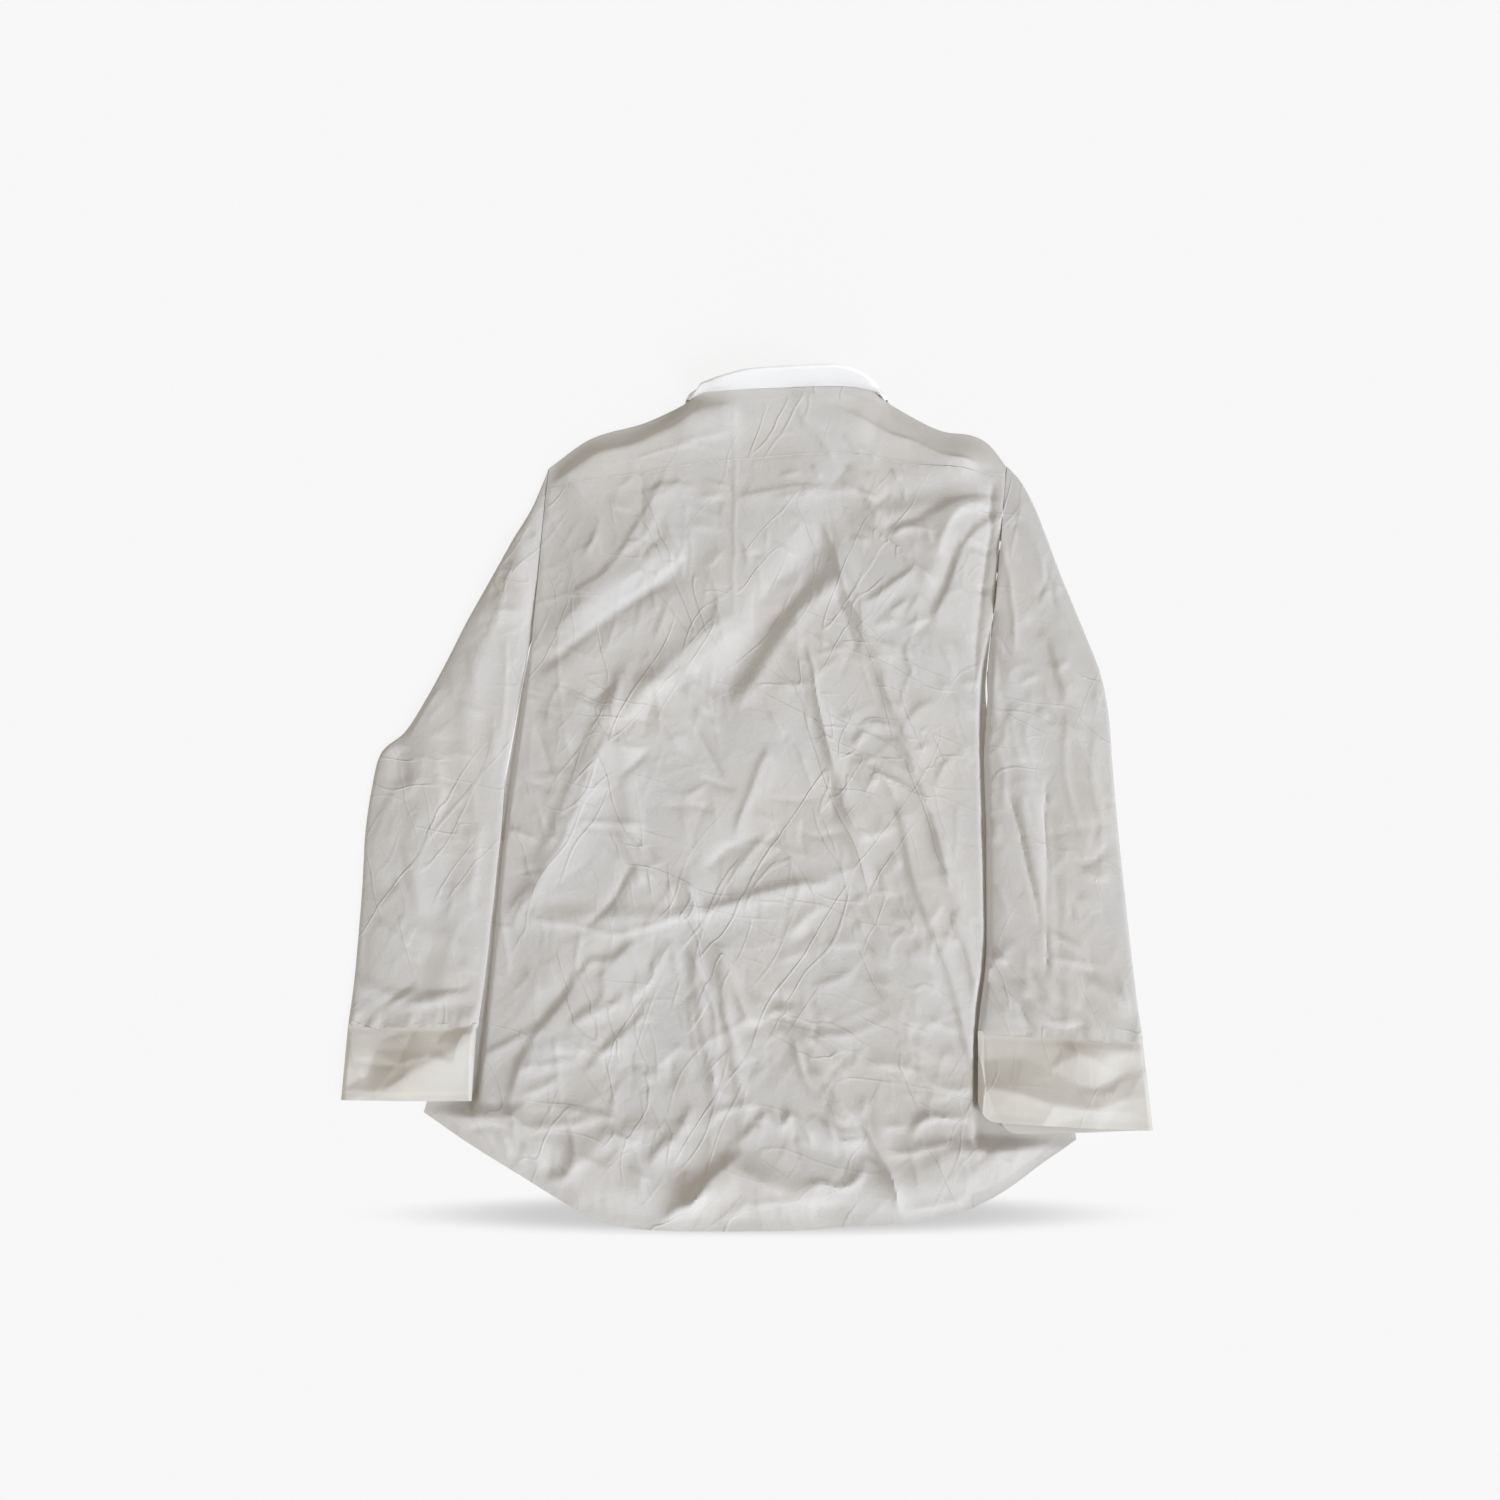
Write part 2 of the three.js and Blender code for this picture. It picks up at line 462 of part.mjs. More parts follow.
function yokePanel() {
  const radius = SHOULDER_FOLD / 2;
  const last = YOKE_COLUMNS.length - 1;
  const grid = YOKE_COLUMNS.map((column, i) => {
    const edge = i === 0 ? leftEdge : rightEdge;
    const place = (y, z) => new THREE.Vector3(i === 0 || i === last ? edge(y) : column, y, z);
    const upper = upperEdge(column);
    const top = steps(YOKE_TOP_ROWS).map((up) => {
      const y = lerp(yokeSeam(column) + SEAM_GAP / 2, upper - radius, up);
      return place(y, bodyTop(column, y));
    });
    const seam = place(yokeFrontSeam(column), 0).x === column ? yokeFrontSeam(column) : endSeam(edge);
    const rise = collarLift(column, seam);
    const height = top.at(-1).z;
    const arc = YOKE_ARC.map((t) => place(
      upper - radius + radius * Math.sin(Math.PI * t),
      lerp(rise, height, (1 + Math.cos(Math.PI * t)) / 2),
    ));
    const back = [0.5, 1].map((t) => place(lerp(upper - radius, seam, t), rise));
    return [...top, ...arc, ...back];
  });
  const neckFrom = YOKE_SHOULDER_COLUMNS;
  const neckTo = YOKE_SHOULDER_COLUMNS + YOKE_NECK_COLUMNS;
  return wall(grid, CLOTH, (i, j) => j < YOKE_TOP_ROWS || i < neckFrom || i >= neckTo);
}

// ---- fronts and placket ---------------------------------------------------------------------------------

const buttonRows = steps(PLACKET_BUTTONS.count - 1)
  .map((t) => PLACKET_BUTTONS.first - t * (PLACKET_BUTTONS.count - 1) * PLACKET_BUTTONS.pitch);
const NEAR_BUTTON = 11;           // the placket is level this far above and below a button's centre
const CLEAR_OF_BUTTON = 30;       // and down on the table this far away
const FRONT_ROWS = [
  HEM_Y + FRONT_HEM_RISE, -352, -318, -268, -240,
  ...buttonRows.flatMap((y) => [-CLEAR_OF_BUTTON, -NEAR_BUTTON, NEAR_BUTTON, CLEAR_OF_BUTTON].map((d) => y + d)),
  FRONT_NECK_Y,
].sort((a, b) => a - b);

function buttonLift(y) {
  const nearest = Math.min(...buttonRows.map((row) => Math.abs(row - y)));
  return BUTTON_LIFT * clamp((CLEAR_OF_BUTTON - nearest) / (CLEAR_OF_BUTTON - NEAR_BUTTON), 0, 1);
}

const EDGE_STEP = 1.5;            // how far past the placket's edge a front stays raised
const SLOPE_WIDTH = 26;           // then it comes down to the table over this width
const HALF_PLACKET = PLACKET_WIDTH / 2;

// Upper edge of a front: the shoulder seam, then the neckline down to the centre.
function frontTop(x) {
  const fromCentre = Math.abs(x - CENTRE_NECK_X);
  if (x < NECK_LEFT_X || x > NECK_RIGHT_X) return yokeFrontSeam(x) - SEAM_GAP;
  return neckline(fromCentre);
}

const frontHem = (x) => Math.max(hemLine(x), HEM_Y) + FRONT_HEM_RISE;
const SLOPE_TOP = HALF_PLACKET + EDGE_STEP;
const SLOPE_FOOT = SLOPE_TOP + SLOPE_WIDTH;

// Height of the upper side of the uppermost front, which the back rests on.
function frontsTop(x, y) {
  const fromCentre = Math.abs(x - centreX(y));
  const overlap = clamp((SLOPE_FOOT - fromCentre) / (SLOPE_FOOT - SLOPE_TOP), 0, 1);
  return CLOTH + (2 * (CLOTH + LAYER_GAP) + buttonLift(y)) * overlap + collarLift(x, y);
}

// One front. side is -1 for the wearer's left and 1 for the right; below is what it lies on at the centre.
function frontPanel(side, below) {
  const edge = side < 0 ? leftEdge : rightEdge;
  const shoulderY = yokeFrontSeam(side < 0 ? NECK_LEFT_X : NECK_RIGHT_X);
  const foot = centreX(shoulderY) + side * SLOPE_FOOT;
  const neckShare = ((side < 0 ? NECK_LEFT_X : NECK_RIGHT_X) - edge(shoulderY)) / (foot - edge(shoulderY));
  const shares = [0, 1 / 3, 2 / 3, 1].map((t) => t * neckShare);
  shares.push(...[0.35, 0.7, 1].map((t) => lerp(neckShare, 1, t)));
  const columns = [
    ...shares.map((share) => ({ share })),
    { offset: side * SLOPE_TOP },
    { offset: -side * HALF_PLACKET },
  ];
  const grid = FRONT_ROWS.map((row) => columns.map(({ share, offset }) => {
    const up = (row - FRONT_ROWS[0]) / (FRONT_NECK_Y - FRONT_ROWS[0]);
    if (share === undefined) {
      const at = centreX(row) + offset;
      return new THREE.Vector3(at, row, CLOTH + below + buttonLift(row) + collarLift(at, row));
    }
    let x = 0;
    let y = row;
    for (let pass = 0; pass < 12; pass += 1) {
      x = lerp(edge(y), centreX(y) + side * SLOPE_FOOT, share);
      y = lerp(frontHem(x), frontTop(x), up);
    }
    return new THREE.Vector3(x, y, CLOTH + collarLift(x, y));
  }));
  return wall(side < 0 ? grid.reverse() : grid, CLOTH);
}

function placketBand() {
  const grid = FRONT_ROWS.map((row) => [-HALF_PLACKET, HALF_PLACKET].map((offset) => new THREE.Vector3(
    centreX(row) + offset,
    row,
    CLOTH + buttonLift(row) + collarLift(centreX(row) + offset, row),
  )));
  return wall(grid.reverse(), CLOTH);
}

// ---- sleeves --------------------------------------------------------------------------------------------

const EDGE_ROUND = 2.6;           // the fold at each edge of a flattened sleeve
const SLEEVE_LEAST = 2.9;         // height of the tube beside its edges
const TOP_SHARES = [0.86, 0.72, 0.57, 0.42, 0.28, 0.14];

function sleeveTube(rows, edge) {
  const outerRings = [];
  const innerRings = [];
  for (const row of rows) {
    const from = new THREE.Vector2(...row.in);
    const to = new THREE.Vector2(...row.out);
    const width = from.distanceTo(to);
    const direction = to.clone().sub(from).divideScalar(width);
    const covered = Math.max(0, (edge(from.y) - from.x) * Math.sign(to.x));
    const onBody = clamp(covered + 7, 10, width - 40);
    const down = onBody + 26;
    const underside = (at) => lerp(row.lift, 0, clamp((at - onBody) / (down - onBody), 0, 1));
    const place = (at) => from.clone().addScaledVector(direction, at);
    const height = (at) => {
      const share = at / width;
      const bulge = row.loft * (4 * share * (1 - share)) ** 0.7;
      const p = place(at);
      const folded = foldHeight(SLEEVE_FOLDS, p.x, p.y) * smooth(bulge / 3);
      return Math.max(SLEEVE_LEAST, SLEEVE_LEAST + bulge + folded);
    };
    const ring = (inset, wallIn) => {
      const low = EDGE_ROUND + wallIn * 0.4;
      const bottom = [low, onBody, down, width - low].map((at) => [at, underside(at) + wallIn]);
      const top = [width - low, ...TOP_SHARES.map((share) => share * width), low]
        .map((at) => [at, underside(at) + height(at) - wallIn]);
      const middle = (at) => underside(at) + SLEEVE_LEAST / 2;
      return [[inset, middle(inset)], ...bottom, [width - inset, middle(width - inset)], ...top]
        .map(([at, z]) => new THREE.Vector3(...place(at).toArray(), z));
    };
    outerRings.push(ring(0, 0));
    innerRings.push(ring(CLOTH * 1.25, CLOTH));
  }
  return outward(tube(outerRings, innerRings));
}

// ---- cuffs ----------------------------------------------------------------------------------------------

const CUFF_CORNER = 16;           // radius of the free lower corners

// A cuff's underside, by distance from its inner edge: over the body and a button, then down to the table.
const CUFF_LIFT = ON_BODY + BUTTON.thickness + LAYER_GAP;
const cuffUnder = (at, bodyWidth) => CUFF_LIFT * (1 - smooth((at - bodyWidth - 6) / 44));

// A band bent round in the section plane. path is a list of { at, z, run } from one free end to the other: at is
// the distance from the inner edge, z the outer side, run the length from the nearer free end.
function cuffBand(path, place) {
  const shares = [0, 0.4, 0.75, 0.92, 1];
  const grid = path.map((p) => shares.map((down) => {
    const short = Math.max(0, CUFF_CORNER - p.run);
    const corner = CUFF_CORNER - Math.sqrt(CUFF_CORNER ** 2 - short ** 2);
    return place(p, down, corner);
  }));
  return outward(wall(grid, CUFF_WALL));
}

const FAR_FROM_END = 1000;

function closedCuff() {
  const { width, onBody, head, foot } = CLOSED_CUFF;
  const under = (at) => cuffUnder(at, onBody);
  const inner = (at) => under(at) + CUFF_WALL + LAYER_GAP;
  const top = (at) => under(at) + lerp(6.6, 4.6, smooth((at - 30) / 60)) + 1.6 * Math.sin(Math.PI * at / width);
  const path = [
    { at: 27, z: inner(27), run: 0 }, { at: 22, z: inner(22), run: 5 }, { at: 11, z: inner(11), run: 16 },
    { at: 3, z: inner(3) }, { at: 0.9, z: inner(0) + 1.0 }, { at: 0.9, z: top(0) - 1.0 }, { at: 3, z: top(3) },
    ...[0.2, 0.35, 0.5, 0.65, 0.8].map((t) => ({ at: t * width, z: top(t * width) })),
    { at: width - 2.6, z: top(width) }, { at: width - 0.6, z: top(width) - 0.9 },
    { at: width - 0.6, z: under(width) + 0.9 }, { at: width - 2.6, z: under(width) },
    ...[0.85, 0.7, 0.55, 0.4, 0.28].map((t) => ({ at: t * width, z: under(t * width) })),
    { at: 21, z: under(21), run: 16 }, { at: 10, z: under(10), run: 5 }, { at: 5, z: under(5), run: 0 },
  ].map((p) => ({ run: FAR_FROM_END, ...p }));
  return cuffBand(path, (p, down, corner) => new THREE.Vector3(
    CLOSED_CUFF.inner - p.at,
    lerp(head, foot + corner, down),
    p.z,
  ));
}

function openCuff() {
  const { width, onBody, inner, outer } = OPEN_CUFF;
  const under = (at) => cuffUnder(at, onBody);
  const top = (at) => under(at) + 2 * CUFF_WALL + lerp(0.7, 1.2, at / width) + 3.4 * Math.sin(Math.PI * at / width);
  const path = [
    { at: 0, z: top(0), run: 0, upper: 1 }, { at: 5, z: top(5), run: 5, upper: 1 },
    { at: 16, z: top(16), run: 16, upper: 1 },
    ...[0.22, 0.34, 0.46, 0.58, 0.7, 0.84].map((t) => ({ at: t * width, z: top(t * width), upper: 1 })),
    { at: width - 2.6, z: top(width), upper: 1 }, { at: width - 0.6, z: top(width) - 0.9, upper: 1 },
    { at: width - 0.6, z: under(width) + 0.9, upper: 0 }, { at: width - 2.6, z: under(width), upper: 0 },
    ...[0.84, 0.7, 0.58, 0.46, 0.34].map((t) => ({ at: t * width, z: under(t * width), upper: 0 })),
    { at: 34, z: under(34), run: 16, upper: 0 }, { at: 23, z: under(23), run: 5, upper: 0 },
    { at: 18, z: under(18), run: 0, upper: 0 },
  ].map((p) => ({ run: FAR_FROM_END, ...p })).reverse();
  return cuffBand(path, (p, down, corner) => {
    const share = p.at / width;
    const slip = p.upper ? 0 : OPEN_CUFF.slip * (1 - share);
    const head = lerp(...OPEN_CUFF.head, share);
    const foot = lerp(...OPEN_CUFF.foot, share) - slip + corner;
    const flare = lerp(-3.5, 2, share) * down;
    return new THREE.Vector3(lerp(inner, outer, share) + flare, lerp(head, foot, down), p.z);
  });
}

// ---- collar ---------------------------------------------------------------------------------------------

const ROLL = FUSED + LAYER_GAP + FUSED / 2;     // outer radius of the roll over the stand's upper edge
const ROLL_TURNS = [88, 46];              // degrees round the roll, from behind the stand to the fall
const FALL_SHARES = [0, 0.3, 0.65, 1];

const mirrored = (row) => Object.fromEntries(Object.entries(row).map(([key, [x, y, z]]) => [key, [-x, y, z]]));
const COLLAR_ROWS = [
  ...[...COLLAR_FRONT].reverse().map(mirrored),
  ...COLLAR_BACK,
  ...COLLAR_FRONT,
];

// Each collar section with its directions: down the fall, and through the cloth towards the stand.
function collarSections() {
  const rows = COLLAR_ROWS.map((row) => Object.fromEntries(Object.entries(row)
    .map(([key, [x, y, z]]) => [key, new THREE.Vector3(CENTRE_NECK_X + x, y, z)])));
  const framed = rows.map((row, i) => {
    const before = rows[Math.max(i - 1, 0)].fold;
    const after = rows[Math.min(i + 1, rows.length - 1)].fold;
    const run = after.clone().sub(before).normalize();
    const down = row.leaf.clone().sub(row.fold).normalize();
    const through = run.clone().cross(down).normalize();
    return { ...row, down, through };
  });
  const turn = (a, b) => (a && b ? 1 - a.through.dot(b.through) : 0);
  return framed.map((row, i) => ({ ...row, turn: Math.max(turn(row, framed[i - 1]), turn(row, framed[i + 1])) }));
}

function collarFall(sections) {
  const grid = sections.map(({ fold, leaf, down, through }) => {
    const centre = fold.clone().addScaledVector(through, ROLL);
    const roll = ROLL_TURNS.map((degrees) => {
      const turn = THREE.MathUtils.degToRad(degrees);
      return centre.clone().addScaledVector(through, -ROLL * Math.cos(turn))
        .addScaledVector(down, -ROLL * Math.sin(turn));
    });
    return [...roll, ...FALL_SHARES.map((t) => fold.clone().lerp(leaf, t))];
  });
  return outward(wall(grid.reverse(), FUSED));
}

// The stand, with both ends carried past the centre front, the wearer's right one over the left.
function collarStand(sections) {
  const edges = sections.map(({ fold, neck, down, through, turn }) => [
    fold.clone().addScaledVector(through, FUSED + LAYER_GAP + 0.3 + TURN_ROOM * turn)
      .addScaledVector(down, STAND_BELOW_FOLD),
    neck.clone(),
  ]);
  const carried = ([upper, lower], side, under) => [0.35, 1].map((t) => [upper, lower].map((point) => {
    const x = lerp(point.x, CENTRE_NECK_X - side * STAND_END, t);
    return new THREE.Vector3(x, point.y, lerp(point.z, under, Math.min(1, t / 0.35)));
  }));
  const leftEnd = carried(edges[0], -1, STAND_OVER_BUTTON).reverse();
  const rightEnd = carried(edges.at(-1), 1, STAND_OVER_BUTTON + FUSED + LAYER_GAP);
  const grid = [...leftEnd, ...edges, ...rightEnd]
    .map(([upper, lower]) => [0, 0.5, 1].map((t) => upper.clone().lerp(lower, t)));
  return outward(wall(grid.reverse(), FUSED));
}

// ---- buttons --------------------------------------------------------------------------------------------

function addButton(name, x, y, under) {
  const radius = BUTTON.diameter / 2;
  const geometry = new THREE.CylinderGeometry(radius, radius, BUTTON.thickness, BUTTON.sides);
  geometry.rotateX(Math.PI / 2);
  add(name, geometry, buttonResin, new THREE.Vector3(x, y, under + BUTTON.thickness / 2));
}

// ---- the shirt ------------------------------------------------------------------------------------------

const cotton = new THREE.MeshStandardMaterial({ color: 0xdedcd8, roughness: 0.92, metalness: 0 });
const interlined = new THREE.MeshStandardMaterial({ color: 0xe6e5e2, roughness: 0.88, metalness: 0 });
const buttonResin = new THREE.MeshStandardMaterial({ color: 0xf0ece0, roughness: 0.35, metalness: 0 });

const shirt = new THREE.Group();

function add(name, geometry, material, position = new THREE.Vector3()) {
  const mesh = new THREE.Mesh(geometry, material);
  mesh.name = name;
  mesh.position.copy(position);
  shirt.add(mesh);
}

const onPlacket = CLOTH + LAYER_GAP;
add('back', outward(backPanel()), cotton);
add('yoke', outward(yokePanel()), cotton);
add('placket', outward(placketBand()), interlined);
add('front_left', outward(frontPanel(-1, onPlacket)), cotton);
add('front_right', outward(frontPanel(1, 2 * onPlacket)), cotton);
add('sleeve_left', sleeveTube(LEFT_SLEEVE, leftEdge), cotton);
add('sleeve_right', sleeveTube(RIGHT_SLEEVE, rightEdge), cotton);
add('cuff_left', closedCuff(), interlined);
add('cuff_right', openCuff(), interlined);

const sections = collarSections();
add('collar_fall', collarFall(sections), interlined);
add('collar_stand', collarStand(sections), interlined);

buttonRows.forEach((y, i) => addButton(`button_${i + 1}`, centreX(y), y, collarLift(centreX(y), y)));
addButton('button_collar', CENTRE_NECK_X, COLLAR_BUTTON_Y, 0);
addButton('button_cuff_left', ...CLOSED_CUFF.button, ON_BODY);
addButton('button_cuff_right', ...OPEN_CUFF.button, ON_BODY);

// The origin is on the table, under the middle of the whole shirt.
const middle = new THREE.Box3().setFromObject(shirt).getCenter(new THREE.Vector3());
shirt.position.set(-middle.x, -middle.y, 0);

export default shirt;
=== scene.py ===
"""A man's long-sleeved dress shirt of crumpled cotton poplin, laid out face down, with its creases and buttons.

Lengths in the tables are millimetres in the shirt's drawing frame; ORIGIN_SHIFT turns them into the frame's own.
"""

import math

import bpy
import numpy as np
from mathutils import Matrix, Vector
from mathutils.geometry import delaunay_2d_cdt


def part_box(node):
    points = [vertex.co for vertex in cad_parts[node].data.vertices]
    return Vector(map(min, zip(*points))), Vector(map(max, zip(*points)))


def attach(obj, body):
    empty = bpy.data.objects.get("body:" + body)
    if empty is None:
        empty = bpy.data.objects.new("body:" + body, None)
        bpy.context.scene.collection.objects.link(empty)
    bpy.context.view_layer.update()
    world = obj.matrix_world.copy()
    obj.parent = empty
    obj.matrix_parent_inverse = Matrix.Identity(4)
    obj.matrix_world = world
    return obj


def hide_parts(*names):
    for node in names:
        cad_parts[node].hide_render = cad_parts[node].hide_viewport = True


bl_info = {
    "name": "Crumpled Dress Shirt",
    "version": (1, 0, 0),
    "blender": (4, 5, 0),
    "location": "View3D > Sidebar > Shirt",
    "description": "Builds a crumpled cotton dress shirt laid out face down",
    "category": "Add Mesh",
}

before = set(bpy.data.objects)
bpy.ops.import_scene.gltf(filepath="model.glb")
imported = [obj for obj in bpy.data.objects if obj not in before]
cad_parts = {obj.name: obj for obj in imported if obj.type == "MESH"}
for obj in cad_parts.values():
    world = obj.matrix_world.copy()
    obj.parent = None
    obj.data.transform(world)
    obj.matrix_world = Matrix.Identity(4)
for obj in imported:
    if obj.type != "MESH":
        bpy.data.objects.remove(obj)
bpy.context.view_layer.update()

MM = 0.001
COLLAR_BUTTON = (43.0, 334.0)     # its middle in the drawing frame
_low, _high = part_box("button_collar")
ORIGIN_SHIFT = np.array([
    (_low[0] + _high[0]) / 2 / MM - COLLAR_BUTTON[0],
    (_low[1] + _high[1]) / 2 / MM - COLLAR_BUTTON[1],
    0.0,
])

# ---- driving sizes -------------------------------------------------------------------------------------

PANEL = 1.0                      # wall of a panel that the tables' heights are set out for
FUSED = 1.4                      # the same for an interlined panel
CUFF_WALL = 1.6
SEAM_GAP = 0.3                   # between pieces that are sewn together
LAYER_GAP = 0.35                 # between pieces that lie on each other
BUTTON_DIAMETER = 11.5
BUTTON_THICKNESS = 2.2
CENTRE_HEM_X, CENTRE_NECK_X = 4.0, 43.0
HEM_Y, NECK_Y = -398.5, 404.0
PLACKET_WIDTH = 35.0
SLOPE_TOP = PLACKET_WIDTH / 2 + 1.5     # where the fronts' overlap ends, from the centre line
SLOPE_FOOT = SLOPE_TOP + 26      # and where a front is down on what lies beneath it
FRONT_HEM_RISE = 9.0
FRONT_NECK_Y = 318.0
YOKE_RETURN = 22.0
SHOULDER_FOLD = 3.6
NECK_HEIGHT = 8.4
ARMHOLE_HEIGHT = 5.6
BODY_LOFT = 13.0
BUTTON_LIFT = BUTTON_THICKNESS + LAYER_GAP
BUTTON_ROWS = np.array([-188.0, -98.0, -8.0, 82.0, 172.0, 262.0])
BUTTON_LEVEL, BUTTON_FOOT = 11, 30      # from a button: how far the cloth stays level, and where it is down
SIDE_TOP = PANEL + SEAM_GAP + PANEL
ON_BODY = SIDE_TOP + 2 * LAYER_GAP
NECK_LEFT_X, NECK_RIGHT_X = -55.0, 139.0
SHOULDER_LEFT_X, SHOULDER_RIGHT_X = -199.0, 264.5
REST = 0.5                       # how softly cloth meets the least height that it may have
SIDE_STEP, SIDE_RAMP, SHOULDER_RAMP, NECK_RAMP, HEM_RAMP = 6, 62, 32, 24, 34
SLEEVE_EDGE, SLEEVE_LEAST = 2.6, 2.9    # the rounding of a sleeve's edge, and its height there
CUFF_CORNER, CUFF_STITCH, CUFF_BAND = 16, 5, 64
CUFF_FEET = (-297, -324)         # y below which the back is free of the left and the right cuff
CLOSED_CUFF = {"inner": -234, "head": -231, "foot": -295, "width": 116, "on_body": 46}
OPEN_CUFF = {
    "inner": 204, "outer": 350, "head": (-237, -244), "foot": (-312, -320), "width": 150, "on_body": 84, "slip": 11,
}

# ---- outlines: x against y or y against x --------------------------------------------------------------

LEFT_ARMHOLE = ((-198.8, 313), (-206, 128))      # shoulder point, armpit
RIGHT_ARMHOLE = ((264.5, 315), (232, 95))
LEFT_SEAM = [
    (128, -206), (100, -210.5), (70, -214.5), (30, -218.8), (-10, -224), (-60, -233), (-170, -251), (-305, -277),
]
RIGHT_SEAM = [
    (95, 232), (80, 230.2), (60, 230), (30, 234), (0, 241), (-60, 252), (-140, 262), (-240, 275), (-327, 285),
]
LEFT_COVER = [(313, -198), (128, -206), (18, -214), (-60, -220), (-204, -226), (-305, -231)]
RIGHT_COVER = [(315, 265), (162, 242), (95, 227), (29, 221), (-115, 216), (-171, 213), (-227, 203), (-327, 197)]
HEM = [
    (-277, -305), (-241, -327), (-197, -352), (-158, -374), (-119, -392), (-80, HEM_Y), (50, HEM_Y), (100, -395),
    (140, -393), (181, -385), (220, -368), (259, -343), (285, -327),
]
YOKE_SEAM = [
    (-200, 286), (-158, 291), (-102, 300), (-47, 311), (9, 317), (64, 321), (120, 321), (148, 315), (203, 307),
    (264, 302),
]
UPPER_EDGE = [
    (-199, 312), (-158, 345), (-102, 364), (-55, 389), (-47, 397), (-34, 402), (-10, 404.5), (95, 405.5), (120, 404),
    (132, 399), (139, 392), (176, 367), (203, 353.5), (231, 349), (248, 339), (264.5, 314),
]
FRONT_NECKLINE = [(0, 318), (20, 318), (38, 322.4), (56, 334.2), (72, 350.6), (84, 364.5), (98, 369)]

# ---- broad folds of the body and the sleeves: from x, y; by x, y; to x, y; half width; height ----------

BODY_FOLDS = [
    (-60, 205, -130, 150, -204, 98, 15, -5.0), (-64, 228, -128, 181, -192, 128, 15, 3.2),
    (92, 256, 24, 152, -26, 62, 19, -5.5), (-6, 150, -58, 98, -118, 52, 15, 3.6),
    (262, 284, 176, 258, 116, 246, 14, 4.2), (258, 302, 178, 282, 124, 270, 12, -2.6),
    (252, 264, 208, 216, 184, 160, 12, -3.4), (232, 262, 192, 214, 172, 170, 12, 2.4),
    (84, 254, 126, 107, 170, -32, 9, 3.4), (168, -24, 187, -93, 206, -224, 9, 3.0),
    (30, 148, 74, 51, 108, -104, 8, 2.8), (-112, 98, -158, -22, -198, -130, 8, 3.2),
    (-198, -140, -48, -138, 92, -99, 8, 2.4), (-64, -100, -30, -170, 10, -240, 8, 3.2),
    (-112, 20, -104, -60, -76, -122, 9, 2.4), (-46, -168, -36, -235, -24, -300, 6, 3.0),
    (-22, -172, -14, -236, 0, -302, 6, 2.8), (40, -222, 68, -275, 94, -324, 8, 3.8),
    (118, -212, 150, -250, 184, -262, 9, 2.6), (-206, -262, -170, -214, -108, -160, 12, -3.0),
    (-232, -300, -186, -318, -118, -352, 10, 3.6), (-136, -330, -84, -316, -46, -338, 10, 3.2),
    (-72, -392, -6, -352, 70, -376, 11, 5.0), (22, -318, 74, -338, 128, -346, 10, -3.4),
    (112, -300, 118, -345, 136, -390, 8, 3.6), (150, -352, 186, -330, 226, -338, 10, 2.8),
]
SLEEVE_FOLDS = [
    (250, 120, 258, 20, 266, -90, 9, 2.2), (248, -20, 262, -100, 272, -190, 7, 2.8),
    (282, -6, 280, -120, 276, -226, 7, -2.6), (304, 140, 314, 20, 318, -110, 11, 2.4),
    (232, -196, 262, -214, 290, -232, 7, 3.2), (300, -190, 322, -206, 344, -214, 7, 2.6),
    (262, 300, 276, 268, 292, 216, 9, 2.0), (-322, 20, -322, 2, -324, -18, 10, -3.6),
    (-244, 160, -262, 60, -256, -60, 11, 2.4), (-300, 60, -292, -40, -302, -150, 13, 2.4),
    (-342, -196, -294, -214, -244, -204, 7, 3.4), (-338, -120, -300, -150, -262, -160, 9, 2.2),
]
